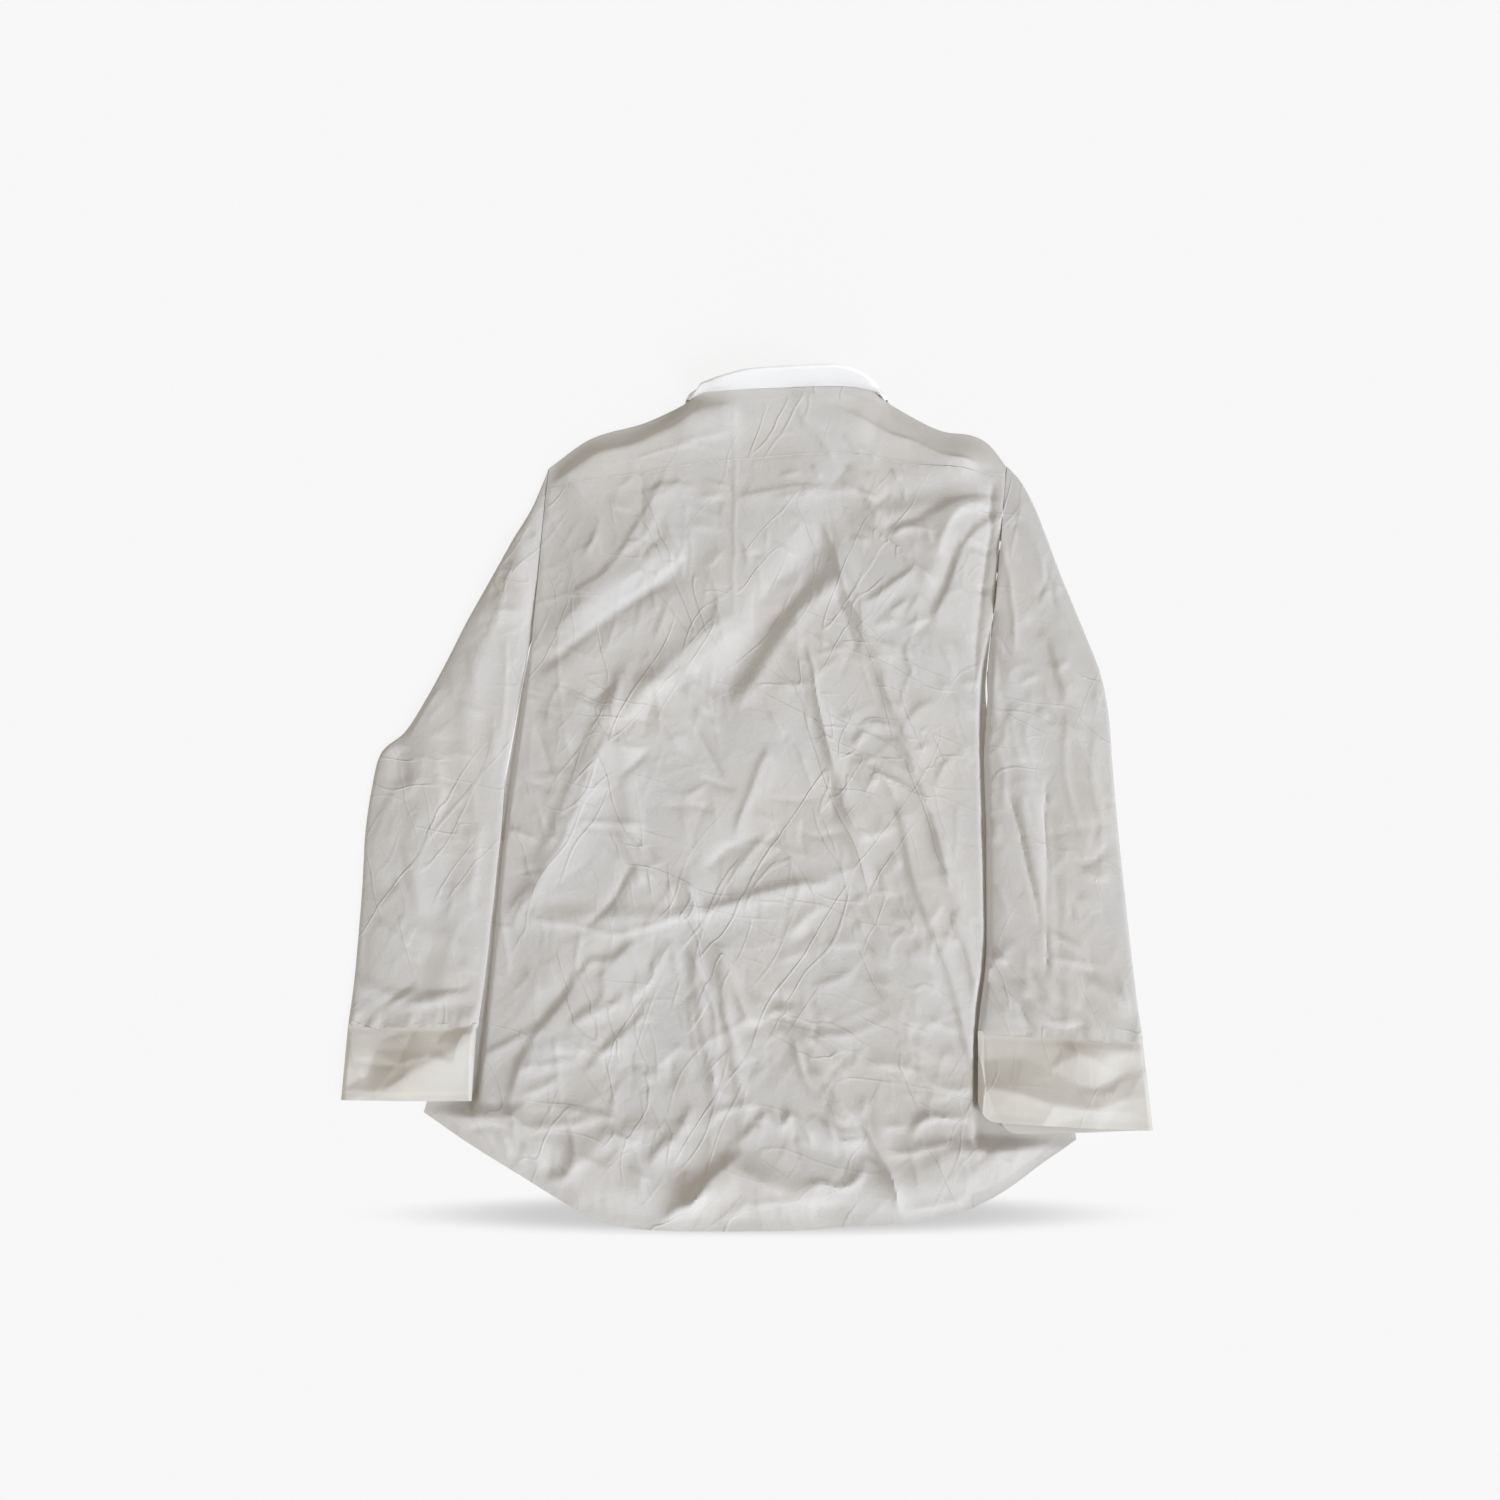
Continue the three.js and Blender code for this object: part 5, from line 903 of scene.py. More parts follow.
def yoke_front_seam(x):
    """y of the yoke's seam to a front: straight from shoulder point to neck."""
    at_shoulder = np.where(x < CENTRE_NECK_X, SHOULDER_LEFT_X, SHOULDER_RIGHT_X)
    at_neck = np.where(x < CENTRE_NECK_X, NECK_LEFT_X, NECK_RIGHT_X)
    share = (x - at_shoulder) / (at_neck - at_shoulder)
    return lerp(upper_edge(at_shoulder), upper_edge(at_neck), share) - YOKE_RETURN


def build_yoke(look):
    """The yoke: up from its seam over the top, half round the shoulder fold, and back to the front seam. At the neck it
    ends on top."""
    radius = SHOULDER_FOLD / 2
    shoulder_cells, neck_cells, top_cells = 48, 80, 39
    columns = np.concatenate([
        np.linspace(SHOULDER_LEFT_X, NECK_LEFT_X, shoulder_cells + 1),
        np.linspace(NECK_LEFT_X, NECK_RIGHT_X, neck_cells + 1)[1:],
        np.linspace(NECK_RIGHT_X, SHOULDER_RIGHT_X, shoulder_cells + 1)[1:]])
    upper, seam = upper_edge(columns), yoke_seam(columns) + SEAM_GAP / 6
    share = np.linspace(0, 1, top_cells + 1)[None, :]
    x = columns[:, None] + 0 * share
    y = lerp(seam[:, None], upper[:, None] - radius, share)
    z = body_top(x, y, look.crumple)
    front = yoke_front_seam(columns)
    for end, edge in ((0, left_edge), (-1, right_edge)):
        for _ in range(8):
            front[end] = yoke_front_seam(np.array(float(edge(front[end]))))
    rise = collar_lift(columns, front)
    turn = np.linspace(0, 1, 10)[None, 1:]
    arc_y = upper[:, None] - radius + radius * np.sin(np.pi * turn)
    arc_z = lerp(rise[:, None], z[:, -1:], (1 + np.cos(np.pi * turn)) / 2)
    back = np.linspace(0, 1, 9)[None, 1:]
    back_y = lerp(upper[:, None] - radius, front[:, None], back)
    all_y = np.concatenate([y, arc_y, back_y], axis=1)
    all_z = np.concatenate([z, arc_z, rise[:, None] + 0 * back_y], axis=1)
    all_x = columns[:, None] + 0 * all_y
    all_x[0], all_x[-1] = left_edge(all_y[0]), right_edge(all_y[-1])
    grid = np.stack([all_x, all_y, all_z], axis=-1)
    keep = np.ones((grid.shape[0] - 1, grid.shape[1] - 1), bool)
    keep[shoulder_cells:shoulder_cells + neck_cells, top_cells:] = False
    obj = wall("yoke_cloth", grid, look.cloth_wall, finish(COTTON), keep)
    hand_over(obj, "yoke")


def front_relief(x, y):
    """Low relief on the fronts, never below the drawn height: facets squeezed to half a millimetre."""
    return 0.25 * np.clip(0.5 + facets(x, y) / 3 + value_noise(x, y, 12, 61) / 2, 0, 2)


def front_top(x):
    """y of a front's upper edge: the yoke's seam outside the neck, the neckline within it."""
    outside = (x < NECK_LEFT_X) | (x > NECK_RIGHT_X)
    return np.where(outside, yoke_front_seam(x) - SEAM_GAP, neckline(np.abs(x - CENTRE_NECK_X)))


def front_hem(x):
    """y of a front's hem, a little above the back's."""
    return np.maximum(hem_line(x), HEM_Y) + FRONT_HEM_RISE


def build_fronts(look):
    """Both fronts and the placket: flat on the table, the slope up to the overlap, the part over the buttons."""
    rows_y = np.linspace(HEM_Y + FRONT_HEM_RISE, FRONT_NECK_Y, 150)
    up = ((rows_y - rows_y[0]) / (rows_y[-1] - rows_y[0]))[:, None]
    share = np.linspace(0, 1, 66)[None, :]
    for side, edge, below, node in ((-1, left_edge, 1, "front_left"), (1, right_edge, 2, "front_right")):
        x, y = panel_points(
            share, up, edge, lambda at, side=side: centre_x(at) + side * SLOPE_FOOT, front_hem, front_top)
        offsets = side * np.linspace(SLOPE_FOOT, -PLACKET_WIDTH / 2, 22)[None, 1:]
        x = np.concatenate([x, centre_x(rows_y)[:, None] + offsets], axis=1)
        y = np.concatenate([y, rows_y[:, None] + 0 * offsets], axis=1)
        overlap = np.clip((SLOPE_FOOT - side * (x - centre_x(y))) / (SLOPE_FOOT - SLOPE_TOP), 0, 1)
        z = (PANEL + collar_lift(x, y) + (below * (PANEL + LAYER_GAP) + button_lift(y)) * overlap
             + front_relief(x, y) * (1 - overlap))
        obj = wall(node + "_cloth", np.stack([x, y, z], axis=-1), look.cloth_wall, finish(COTTON))
        hand_over(obj, node)
    offsets = np.linspace(-PLACKET_WIDTH / 2, PLACKET_WIDTH / 2, 15)[None, :]
    x, y = centre_x(rows_y)[:, None] + offsets, rows_y[:, None] + 0 * offsets
    stitching = 0.12 * np.exp(-(((np.abs(offsets) - 11.5) / 0.9) ** 2))
    z = PANEL + button_lift(y) + collar_lift(x, y) - stitching
    obj = wall("placket_cloth", np.stack([x, y, z], axis=-1), look.fused_wall, finish(INTERLINED))
    hand_over(obj, "placket")


def build_sleeve(rows, edge, node, name, look):
    """A sleeve: flattened rings whose underside steps down off the body, their top bulged, folded and creased, and
    gathered where it joins the cuff. A ring runs out along its underside, round one edge, back along its top and
    round the other edge."""
    left = rows[0][0] < 0
    lean, high_lean = (1.4, 1.7) if left else (0.62, 0.36)
    relief_gain, cuff_top = (0.76, closed_top) if left else (1.22, open_top)
    cuff_body = (CLOSED_CUFF if left else OPEN_CUFF)["on_body"]

    index = np.arange(len(rows), dtype=float)
    fine = np.linspace(0, len(rows) - 1, 190)
    in_x, in_y, out_x, out_y, lift, loft = (
        along(list(zip(index, column)))(fine)[:, None] for column in np.array(rows, float).T)
    width = np.hypot(out_x - in_x, out_y - in_y)
    turn = np.linspace(0, np.pi, 7)[1:-1][None, :]
    beneath, over = np.linspace(0, 1, 26)[None, :], np.linspace(1, 0, 52)[None, :]
    low = SLEEVE_EDGE
    at = np.concatenate([
        lerp(low, width - low, beneath), width - low + low * np.sin(turn), lerp(low, width - low, over),
        low - low * np.sin(turn) + 0 * width], axis=1)
    level = np.concatenate([0 * beneath, (1 - np.cos(turn)) / 2, 0 * over + 1, (1 + np.cos(turn)) / 2], axis=1)
    from_edge = np.minimum(at, width - at)
    share = at / width
    x, y = in_x + (out_x - in_x) * share, in_y + (out_y - in_y) * share
    head = -232 if left else -238 - 0.05 * at

    on_body = np.clip(np.maximum(0, (edge(in_y) - in_x) * np.sign(out_x)) + 7, 10, width - 40)
    under = lift * (1 - smooth((at - on_body) / 26))
    under = np.maximum(under, 0.97 * cuff_under(at, cuff_body) * smooth((head + 40 - y) / 34))

    leaning = share ** lerp(lean, high_lean, smooth((y - 60) / 90))
    bulge = loft * (4 * np.clip(leaning * (1 - leaning), 0, 1)) ** 0.7
    wx, wy = warped(x, y)
    relief = look.crumple * (crease_height(SLEEVE_CREASES, wx, wy, 10, gain=1.1)
                             + crease_height(STREWN_SLEEVES, wx, wy, 0) + 0.55 * facets(x, y))
    puckers = 0.5 * value_noise(x, y, 5.5, 71) * np.exp(-((from_edge / 6) ** 2))
    folded = ((0.7 * fold_height(SLEEVE_FOLDS, x, y) + relief_gain * relief) * smooth(bulge / 3)
              + puckers * smooth(bulge / 1.5))
    height = settled(SLEEVE_LEAST, bulge + folded)

    gathers = (1.4 * np.clip(value_noise(at + 0.4 * y, 0.3 * y, 11, 72), -0.3, 1)
               + 0.5 * value_noise(at, 0.3 * y, 4.5, 74))
    at_cuff = SLEEVE_LEAST + (cuff_top(at) - SLEEVE_LEAST + 0.5 + gathers) * smooth(from_edge / 5)
    height = lerp(height, np.maximum(at_cuff, height - 1.5), smooth((head + 20 - y) / 17))
    beneath_relief = 0.35 * np.clip(value_noise(x, y, 14, 73), 0, 1) * smooth(from_edge / 12)
    z = under + np.where(level >= 1, height, level * SLEEVE_LEAST) + (level == 0) * beneath_relief
    obj = wall(name, np.stack([x, y, z], axis=-1), look.cloth_wall, finish(COTTON), wrap=True)
    hand_over(obj, node)


def cuff_under(at, body_width):
    """A cuff's underside by distance from its inner edge: over the body and a button, then down to the table."""
    return (ON_BODY + BUTTON_THICKNESS + LAYER_GAP) * (1 - smooth((at - body_width - 6) / 44))


def closed_top(at):
    """Height of the closed cuff's upper side over its underside."""
    return lerp(6.6, 4.6, smooth((at - 30) / 60)) + 1.6 * np.sin(np.pi * at / CLOSED_CUFF["width"])


def open_top(at):
    """Height of the opened cuff's upper side over its underside."""
    share = at / OPEN_CUFF["width"]
    return 2 * CUFF_WALL + lerp(0.7, 1.2, share) + 3.4 * np.sin(np.pi * share)


def facet_height(table, x, y):
    """Height of a sheet of flat triangles through the rows of (x, y, height)."""
    corners = [Vector(row[:2]) for row in table]
    heights = np.array([row[2] for row in table])
    total = np.zeros(x.shape)
    for a, b, c in delaunay_2d_cdt(corners, [], [], 0, 1e-5)[2]:
        (ax, ay), (bx, by), (cx, cy) = corners[a], corners[b], corners[c]
        area = (bx - ax) * (cy - ay) - (cx - ax) * (by - ay)
        second = ((x - ax) * (cy - ay) - (cx - ax) * (y - ay)) / area
        third = ((bx - ax) * (y - ay) - (x - ax) * (by - ay)) / area
        within = (second >= -1e-6) & (third >= -1e-6) & (second + third <= 1 + 1e-6)
        flat = heights[a] + second * (heights[b] - heights[a]) + third * (heights[c] - heights[a])
        total = np.where(within, flat, total)
    return total


def cuff_band(name, node, path, place, look, closed):
    """A band bent round in the section plane. path holds (at, z, upper) from one free end to the other; the free lower
    corners are rounded, and two rows of topstitching run inside the edges."""
    at, z, upper = np.array(path, float).T
    length = np.concatenate([[0], np.cumsum(np.hypot(np.diff(at), np.diff(z)))])
    ends = np.linspace(0, CUFF_CORNER + 2, 22)
    fine = np.unique(np.concatenate([np.linspace(0, length[-1], 200), length, ends, length[-1] - ends]))
    at, z, upper = (np.interp(fine, length, column) for column in (at, z, upper))
    run = np.minimum(fine, fine[-1] - fine)
    short = np.maximum(0, CUFF_CORNER - run)
    corner = CUFF_CORNER - np.sqrt(np.maximum(0, CUFF_CORNER ** 2 - short ** 2))
    down = np.linspace(0, 1, 34)[None, :] ** 0.9
    grid = np.stack(np.broadcast_arrays(
        *place(at[:, None], upper[:, None], down, corner[:, None]), z[:, None] + 0 * down), axis=-1)
    x, y = grid[..., 0], grid[..., 1]
    from_edge = np.minimum(np.minimum(down * CUFF_BAND, (1 - down) * CUFF_BAND), run[:, None])
    stitch = -0.28 * np.exp(-(((from_edge - CUFF_STITCH) / 1.1) ** 2))
    wx, wy = warped(x, y)
    broad = facet_height(CUFF_RELIEF_CLOSED if closed else CUFF_RELIEF_OPEN, wx, wy)
    crumpled = crease_height(CUFF_CREASES, wx, wy, 11) * look.crumple + 0.4 * facets(x, y)
    inner_side = smooth(at / 3)[:, None] if closed else smooth((at + 2) / 5)[:, None]
    sides = inner_side * smooth((at.max() - at) / 5)[:, None] * smooth(down / 0.16)
    relief = stitch + sides * (1.15 * broad * look.crumple + crumpled * smooth(from_edge / 8))
    grid[..., 2] += np.where(upper[:, None] > 0.5, relief, 0)
    obj = wall(name, grid, look.fused_wall, finish(INTERLINED))
    hand_over(obj, node)


def outer_bend(width, under, top):
    """Section points round a cuff's outer edge, from its upper side to its underside."""
    return [(width - 2.6, top, 1), (width - 1.3, top - 0.2, 1), (width - 0.6, top - 0.9, 1),
            (width - 0.6, under + 0.9, 0), (width - 1.3, under + 0.2, 0), (width - 2.6, under, 0)]


def build_closed_cuff(look):
    """The closed cuff of the wearer's left: a band from under its own end, round the inner edge, over the top, round
    the outer edge and back beneath."""
    cuff, width = CLOSED_CUFF, CLOSED_CUFF["width"]

    def under(at):
        return cuff_under(at, cuff["on_body"])

    def inner(at):
        return under(at) + CUFF_WALL + LAYER_GAP

    def top(at):
        return under(at) + closed_top(at)

    def place(at, upper, down, corner):
        return cuff["inner"] - at + 0 * down, lerp(cuff["head"], cuff["foot"] + corner, down)

    path = [(at, inner(at), 0) for at in (27, 22, 11, 3)]
    path += [(1.6, inner(0) + 0.2, 0), (0.9, inner(0) + 1.0, 0), (0.9, top(0) - 1.0, 1), (1.6, top(2) - 0.2, 1)]
    path += [(at, top(at), 1) for at in (3, *np.linspace(0.08, 0.94, 24) * width)]
    path += outer_bend(width, under(width), top(width))
    path += [(at, under(at), 0) for at in (*np.linspace(0.94, 0.24, 16) * width, 21, 10, 5)]
    cuff_band("cuff_left_cloth", "cuff_left", path, place, look, closed=True)


def build_open_cuff(look):
    """The opened cuff of the wearer's right: a band folded once round its outer edge, with its lower layer slipped
    out a little below the upper one."""
    cuff, width = OPEN_CUFF, OPEN_CUFF["width"]

    def under(at):
        return cuff_under(at, cuff["on_body"])

    def top(at):
        return under(at) + open_top(at)

    def place(at, upper, down, corner):
        share = at / width
        slip = (1 - upper) * cuff["slip"] * (1 - share)
        foot = lerp(*cuff["foot"], share) - slip + corner
        flare = lerp(-3.5, 2, share) * down
        x = lerp(cuff["inner"], cuff["outer"], share) + flare
        return x, lerp(lerp(*cuff["head"], share) + 0 * down, foot, down)

    path = [(at, top(at), 1) for at in np.linspace(0, 0.96, 30) * width]
    path += outer_bend(width, under(width), top(width))
    path += [(at, under(at), 0) for at in np.linspace(0.94, 0.12, 26) * width]
    cuff_band("cuff_right_cloth", "cuff_right", path[::-1], place, look, closed=False)


def collar_end(upper, neck, sign, under):
    """Pairs of upper and lower points that carry the stand on from its last section to the centre front, flat."""
    pairs = []
    for t in (0.12, 0.24, 0.35, 0.6, 0.85, 1.0):
        pairs.append([[lerp(point[0], CENTRE_NECK_X - sign * 12, t), point[1], lerp(point[2], under, min(1, t / 0.35))]
                      for point in (upper, neck)])
    return np.array(pairs)


def build_collar(look):
    """The fall and the stand, as sections from one leaf's point round the back neck to the other's."""
    mirrored = [tuple(-v if k % 3 == 0 else v for k, v in enumerate(row)) for row in COLLAR_FRONT[::-1]]
    rows = mirrored + COLLAR_BACK + COLLAR_FRONT
    index = np.arange(len(rows), dtype=float)
    fine = np.linspace(0, len(rows) - 1, (len(rows) - 1) * 8 + 1)
    columns = np.stack([along(list(zip(index, column)))(fine) for column in np.array(rows, float).T], axis=-1)
    neck, fold, leaf = (columns[:, k:k + 3] + [CENTRE_NECK_X, 0, 0] for k in (0, 3, 6))
    run, down = unit(np.gradient(fold, axis=0)), unit(leaf - fold)
    through = unit(np.cross(run, down))

    # the fall: rolled over the stand along the fold, then laid down to its free edge with a row of stitching
    roll = FUSED + LAYER_GAP + FUSED / 2
    centre = fold + through * roll
    rolled = [centre - through * roll * math.cos(a) - down * roll * math.sin(a)
              for a in np.radians([100, 84, 68, 52, 36, 20])]
    ripple = 0.5 * value_noise(fine * 6, fine * 0, 9, 81)[:, None]
    laid = []
    for t in (0, 0.06, 0.1, 0.14, 0.22, 0.34, 0.46, 0.58, 0.7, 0.78, 0.84, 0.88, 0.92, 0.97, 1):
        stitch = 0.25 * math.exp(-(((t - 0.84) / 0.05) ** 2))
        outward = 0.9 * math.sin(math.pi * t) + ripple * t * (1 - t) * 2 - stitch
        laid.append(lerp(fold, leaf, t) - through * outward)
    grid = np.stack(rolled + laid, axis=1)[::-1]
    obj = wall("collar_fall_cloth", grid, look.fused_wall, finish(PAINTED_LIGHT_COLLAR))
    hand_over(obj, "collar_fall")

    # the stand: from just under the fold down to the neck seam, farther inside where the fold bends sharply
    bend = 1 - np.sum(through[1:] * through[:-1], axis=1)
    bend = np.minimum(np.maximum(np.append(bend, 0), np.append(0, bend)) * 8, 0.4)
    upper = fold + through * (FUSED + LAYER_GAP + 0.3 + 5 * bend[:, None]) + down * 2.6
    first = collar_end(upper[0], neck[0], -1, 2.6)
    last = collar_end(upper[-1], neck[-1], 1, 2.6 + FUSED + LAYER_GAP)
    pairs = np.concatenate([first[::-1], np.stack([upper, neck], axis=1), last])
    grid = np.stack([lerp(pairs[:, 0], pairs[:, 1], t) for t in np.linspace(0, 1, 9)], axis=1)[::-1]
    obj = wall("collar_stand_cloth", grid, look.fused_wall, finish(PAINTED_LIGHT_COLLAR))
    hand_over(obj, "collar_stand")


def build_buttons():
    """Flat discs with a rounded rim, a dished middle and four holes, on polar grids."""
    radius, thick = BUTTON_DIAMETER / 2, BUTTON_THICKNESS
    angle = np.linspace(0, 2 * np.pi, 49)[:-1][None, :]
    out = np.concatenate([np.linspace(0.02, 0.9, 20), [0.94, 0.97, 0.99, 1.0]])[:, None] * radius
    x, y = out * np.cos(angle), out * np.sin(angle)
    edge_drop = 0.45 * smooth((out - radius * 0.86) / (radius * 0.14)) ** 2
    dish = 0.5 * smooth((radius * 0.72 - out) / 0.9)
    holes = sum(np.exp(-((np.hypot(x - a, y - b) / 0.55) ** 4)) for a in (-1.15, 1.15) for b in (-1.15, 1.15))
    upper = thick / 2 - edge_drop - dish - 0.75 * holes
    lower = -thick / 2 + edge_drop * 0.8 + 0.1 * holes
    profile = np.concatenate([np.stack([x, y, upper], axis=-1), np.stack([x, y, lower], axis=-1)[::-1]])
    rows, columns = profile.shape[:2]
    points = np.concatenate([profile.reshape(-1, 3), [[0, 0, profile[0, 0, 2]], [0, 0, profile[-1, 0, 2]]]])
    # a fan closes the middle of each side
    top, bottom, last = len(points) - 2, len(points) - 1, (rows - 1) * columns
    j = np.arange(columns)
    k = (j + 1) % columns
    fans = np.stack([top + 0 * j, j, k, bottom + 0 * j, last + k, last + j], axis=1).reshape(-1, 3)
    faces = quads(rows, columns, wrap=True).tolist() + fans.tolist()
    for name in [f"button_{k}" for k in range(1, 7)] + ["button_collar", "button_cuff_left", "button_cuff_right"]:
        low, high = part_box(name)
        middle = (np.array(low) + np.array(high)) / 2 / MM - ORIGIN_SHIFT
        obj = add_mesh(name + "_disc", points + middle, faces, finish(RESIN), sharp=None)
        hand_over(obj, name)


# ---- stage ---------------------------------------------------------------------------------------------

def white_laminate(look):
    """The table: matt laminate that gives off a little light, with a soft streak of shadow beneath the hem."""
    material = bpy.data.materials.new("white laminate")
    material.use_nodes = True
    tree = material.node_tree
    tree.nodes.remove(tree.nodes["Principled BSDF"])
    place = add_node(tree, "ShaderNodeTexCoord").outputs["Object"]
    shift = ORIGIN_SHIFT * MM
    streak = add_node(tree, "ShaderNodeMapping", {
        "Vector": place, "Location": (0.012 + shift[0], -0.387 + shift[1], 0), "Scale": (0.37, 0.021, 1)},
        vector_type="TEXTURE")
    fall = add_node(tree, "ShaderNodeTexGradient", {"Vector": streak.outputs[0]}, gradient_type="SPHERICAL")
    shadow = add_node(tree, "ShaderNodeMapRange", {
        "Value": fall.outputs["Fac"], "From Max": 0.62, "To Min": look.table_glow, "To Max": 0.6 * look.table_glow},
        interpolation_type="SMOOTHERSTEP")
    glow = add_node(tree, "ShaderNodeEmission", {"Color": linear("#f8f8f8"), "Strength": shadow.outputs["Result"]})
    matt = add_node(tree, "ShaderNodeBsdfDiffuse", {"Color": (*[look.table_shade] * 3, 1)})
    both = add_node(tree, "ShaderNodeAddShader", {0: glow.outputs[0], 1: matt.outputs[0]})
    tree.links.new(both.outputs[0], tree.nodes["Material Output"].inputs["Surface"])
    return material


def add_object(name, data, location=(0, 0, 0), rotation=(0, 0, 0)):
    """A stage object with its data, put in its place."""
    obj = bpy.data.objects.new(name, data)
    obj.location, obj.rotation_euler = location, rotation
    bpy.context.scene.collection.objects.link(obj)
    return obj


def build_stage(look):
    """A white table; a large cool window low on the right with three weaker ones round the shirt, and a soft box over
    the back; a warm dim room; and the camera."""
    mesh = bpy.data.meshes.new("table top")
    mesh.from_pydata([(-3, -3, 0), (3, -3, 0), (3, 3, 0), (-3, 3, 0)], [], [(0, 1, 2, 3)])
    mesh.materials.append(white_laminate(look))
    add_object("table_top", mesh)
    cool = linear(look.key_colour)[:3]
    for name, azimuth, height, strength, soft in (
            ("window light", look.key_azimuth, look.key_height, look.key, 24),
            ("second window", 0.3, 0.5, look.second, 30),
            ("low window", -1.57, 0.28, look.low, 30),
            ("far window", 3.3, 0.5, look.far, 30)):
        sun = bpy.data.lights.new(name, "SUN")
        sun.energy, sun.angle, sun.color = strength, math.radians(soft), cool
        add_object(name, sun, rotation=(math.pi / 2 - height, 0, azimuth + math.pi / 2))
    spot = bpy.data.lights.new("soft box", "SPOT")
    spot.energy, spot.spot_size, spot.spot_blend, spot.shadow_soft_size = look.soft_box, math.radians(34), 1.0, 0.15
    spot.color = cool
    add_object("soft box", spot, location=(0.03, -0.06, 1.3))
    world = bpy.data.worlds.new("room")
    world.use_nodes = True
    background = world.node_tree.nodes["Background"]
    background.inputs["Color"].default_value = linear(look.room_colour)
    background.inputs["Strength"].default_value = look.room
    bpy.context.scene.world = world
    camera = bpy.data.cameras.new("camera")
    camera.lens, camera.sensor_width, camera.clip_start = 24, 36, 0.01
    bpy.context.scene.camera = add_object(
        "camera", camera, tuple((np.array(EYE) + ORIGIN_SHIFT) * MM), (math.radians(14), 0, 0))
    bpy.context.scene.view_settings.view_transform = "Standard"


# ---- add-on --------------------------------------------------------------------------------------------

def colour_text(name, description, default):
    """A property that holds an sRGB hex colour."""
    return bpy.props.StringProperty(name=name, description=description, default=default)


def amount(name, description, default, **limits):
    """A property that holds a size, a strength or an angle."""
    return bpy.props.FloatProperty(name=name, description=description, default=default, **limits)


class ShirtLook(bpy.types.PropertyGroup):
    """Sizes and colours that a user may change."""

    crumple: amount("Crumple", "Share of the full crease height", 1.0, min=0, max=1.5)
    cloth_wall: amount("Cloth wall", "Drawn thickness of a panel, in mm", 0.7, min=0.3, max=1)
    fused_wall: amount("Interlined wall", "Drawn thickness of cuffs, collar and placket, in mm", 1.1, min=0.5, max=1.4)
    cloth: colour_text("Cloth", "Colour of the cotton", "#dededd")
    cloth_warm: colour_text("Cloth, warm", "The tint that the cotton drifts to", "#d8d3ca")
    cuff: colour_text("Interlined cloth", "Colour of cuffs and placket", "#e8e7e4")
    cuff_warm: colour_text("Interlined cloth, warm", "The tint that they drift to", "#e1dccf")
    # the collar's two colours are painted light: whiter than the interlined cuffs, for the bright light that the collar
    # catches
    collar: colour_text("Collar", "Colour of the collar, which is whiter than the rest", "#f9fafb")
    lit_collar_warm: colour_text("Collar, warm", "The tint that it drifts to", "#faf8f4")
    button: colour_text("Buttons", "Colour of the buttons", "#f0ece0")
    table_glow: amount("Table glow", "Light that the white table gives off", 0.915, min=0)
    table_shade: amount("Table shade", "Share of the lamps' light that the table throws back", 0.1, min=0, max=1)
    key: amount("Window light", "Strength of the key light", 2.25, min=0)
    key_azimuth: amount("Window azimuth", "Where the key light comes from", -0.72, subtype="ANGLE")
    key_height: amount("Window height", "Angle of the key light above the table", 0.52, subtype="ANGLE")
    second: amount("Second window", "Strength of the second light", 0.7, min=0)
    low: amount("Low window", "Strength of the low light from below the hem", 0.6, min=0)
    far: amount("Far window", "Strength of the light from the left", 0.6, min=0)
    soft_box: amount("Soft box", "Power of the light over the middle of the back", 4.0, min=0)
    key_colour: colour_text("Window colour", "Colour of all windows' light", "#ebf2ff")
    room: amount("Room light", "Strength of the dim light all round", 0.3, min=0)
    room_colour: colour_text("Room colour", "Colour of the light all round", "#f1e0c3")


class SHIRT_OT_back(bpy.types.Operator):
    """Add the back panel"""

    bl_idname = "shirt.back"
    bl_label = "Back"
    bl_options = {"REGISTER", "UNDO"}

    def execute(self, context):
        build_back(context.scene.shirt_look)
        return {"FINISHED"}


class SHIRT_OT_yoke(bpy.types.Operator):
    """Add the yoke"""

    bl_idname = "shirt.yoke"
    bl_label = "Yoke"
    bl_options = {"REGISTER", "UNDO"}

    def execute(self, context):
        build_yoke(context.scene.shirt_look)
        return {"FINISHED"}


class SHIRT_OT_fronts(bpy.types.Operator):
    """Add both fronts and the placket"""

    bl_idname = "shirt.fronts"
    bl_label = "Fronts and placket"
    bl_options = {"REGISTER", "UNDO"}

    def execute(self, context):
        build_fronts(context.scene.shirt_look)
        return {"FINISHED"}


class SHIRT_OT_sleeves(bpy.types.Operator):
    """Add both sleeves"""

    bl_idname = "shirt.sleeves"
    bl_label = "Sleeves"
    bl_options = {"REGISTER", "UNDO"}

    def execute(self, context):
        look = context.scene.shirt_look
        build_sleeve(LEFT_SLEEVE, left_edge, "sleeve_left", "sleeve_left_cloth", look)
        build_sleeve(RIGHT_SLEEVE, right_edge, "sleeve_right", "sleeve_right_cloth", look)
        return {"FINISHED"}


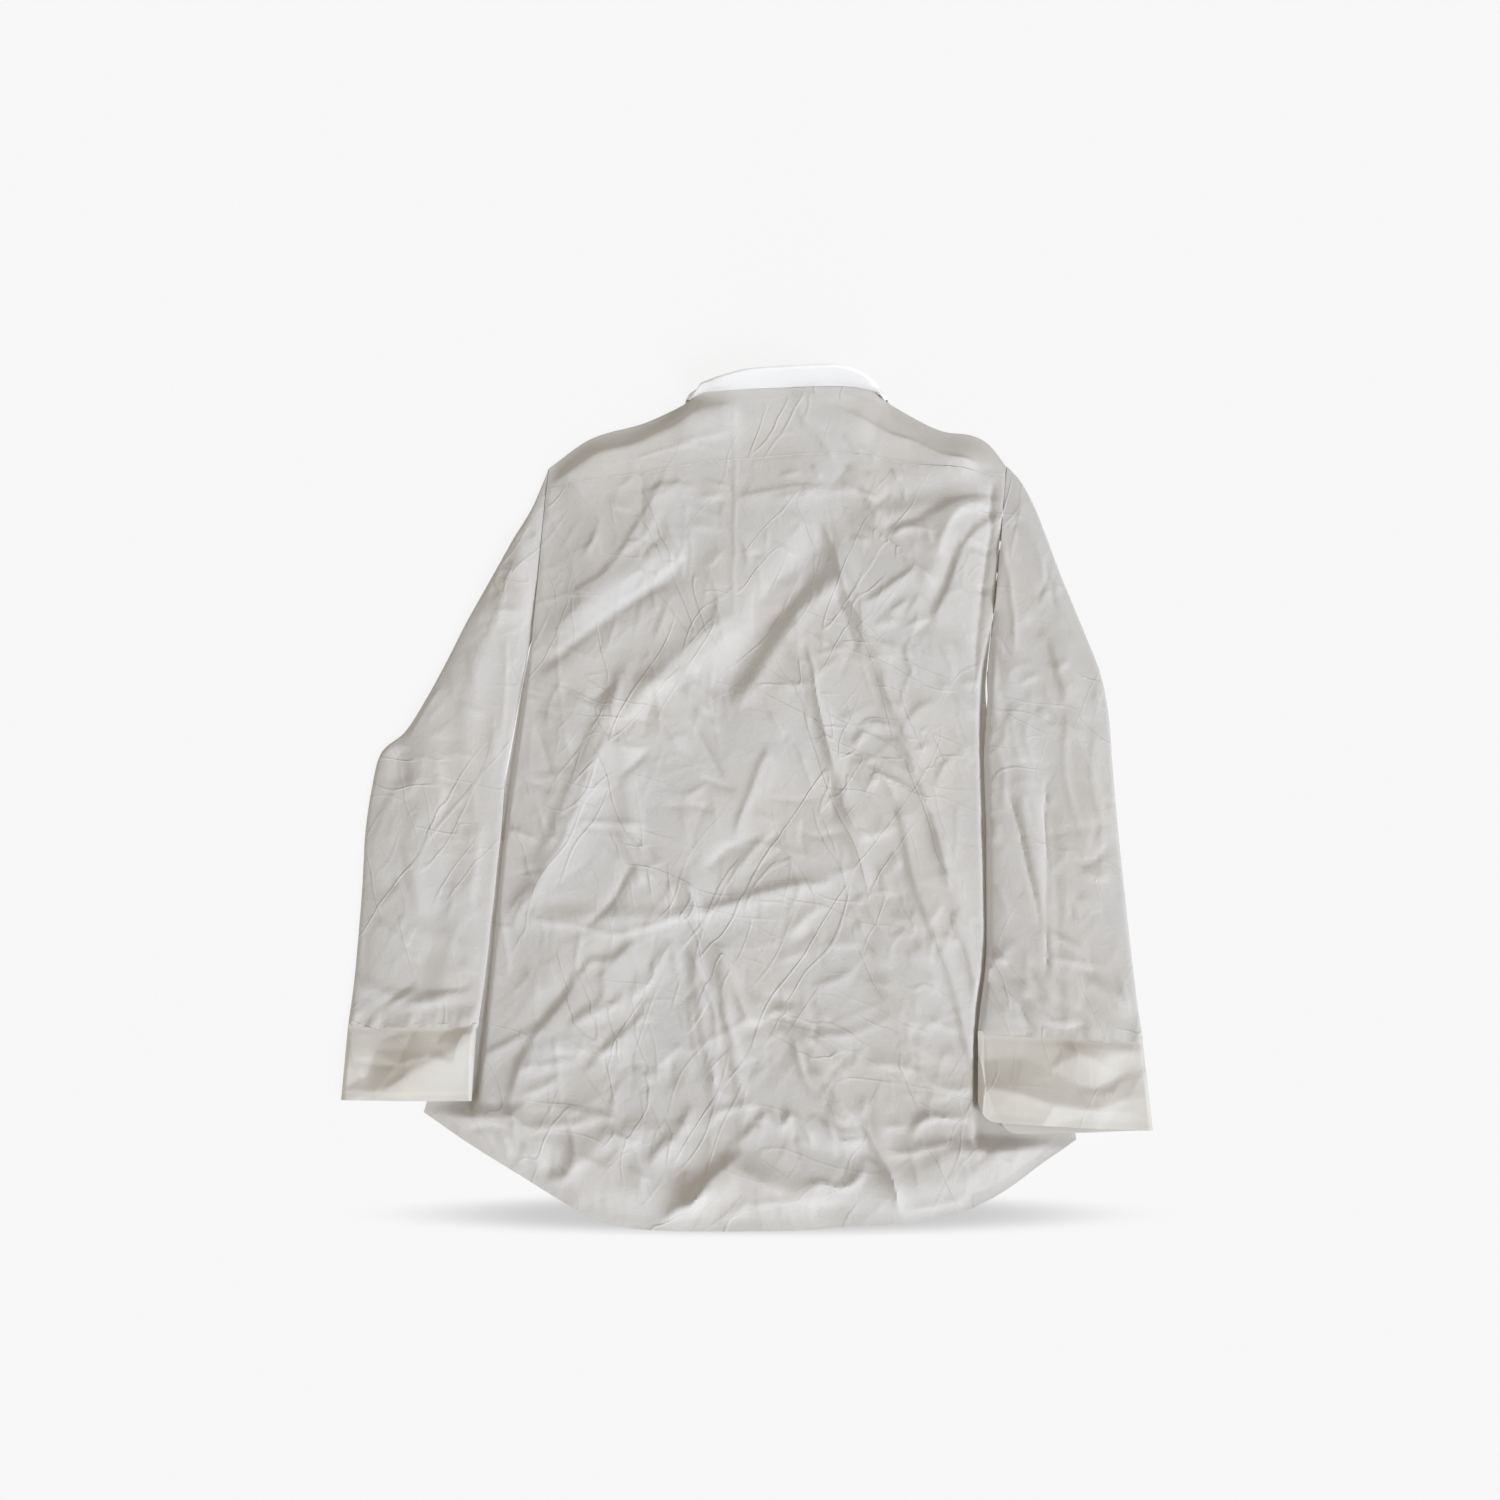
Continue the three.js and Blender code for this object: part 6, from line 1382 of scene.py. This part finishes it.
class SHIRT_OT_cuffs(bpy.types.Operator):
    """Add both cuffs"""

    bl_idname = "shirt.cuffs"
    bl_label = "Cuffs"
    bl_options = {"REGISTER", "UNDO"}

    def execute(self, context):
        build_closed_cuff(context.scene.shirt_look)
        build_open_cuff(context.scene.shirt_look)
        return {"FINISHED"}


class SHIRT_OT_collar(bpy.types.Operator):
    """Add the collar's fall and stand"""

    bl_idname = "shirt.collar"
    bl_label = "Collar"
    bl_options = {"REGISTER", "UNDO"}

    def execute(self, context):
        build_collar(context.scene.shirt_look)
        return {"FINISHED"}


class SHIRT_OT_buttons(bpy.types.Operator):
    """Add the nine buttons"""

    bl_idname = "shirt.buttons"
    bl_label = "Buttons"
    bl_options = {"REGISTER", "UNDO"}

    def execute(self, context):
        build_buttons()
        return {"FINISHED"}


class SHIRT_OT_stage(bpy.types.Operator):
    """Add the table, the lights and the camera"""

    bl_idname = "shirt.stage"
    bl_label = "Stage"
    bl_options = {"REGISTER", "UNDO"}

    def execute(self, context):
        build_stage(context.scene.shirt_look)
        return {"FINISHED"}


OPERATORS = (SHIRT_OT_back, SHIRT_OT_yoke, SHIRT_OT_fronts, SHIRT_OT_sleeves, SHIRT_OT_cuffs, SHIRT_OT_collar,
             SHIRT_OT_buttons, SHIRT_OT_stage)


class SHIRT_PT_panel(bpy.types.Panel):
    """The shirt's pieces, sizes and colours"""

    bl_label = "Crumpled Shirt"
    bl_space_type = "VIEW_3D"
    bl_region_type = "UI"
    bl_category = "Shirt"

    def draw(self, context):
        for operator in OPERATORS:
            self.layout.operator(operator.bl_idname)
        for name in ShirtLook.__annotations__:
            self.layout.prop(context.scene.shirt_look, name)


CLASSES = (ShirtLook, *OPERATORS, SHIRT_PT_panel)


def register():
    """Register the classes and hang the sizes and colours on the scene."""
    for cls in CLASSES:
        bpy.utils.register_class(cls)
    bpy.types.Scene.shirt_look = bpy.props.PointerProperty(type=ShirtLook)


def unregister():
    """Take both off again."""
    del bpy.types.Scene.shirt_look
    for cls in reversed(CLASSES):
        bpy.utils.unregister_class(cls)


def main():
    """Build every piece and the stage."""
    register()
    for operator in OPERATORS:
        group, name = operator.bl_idname.split(".")
        getattr(getattr(bpy.ops, group), name)()


if __name__ == "__main__":
    main()
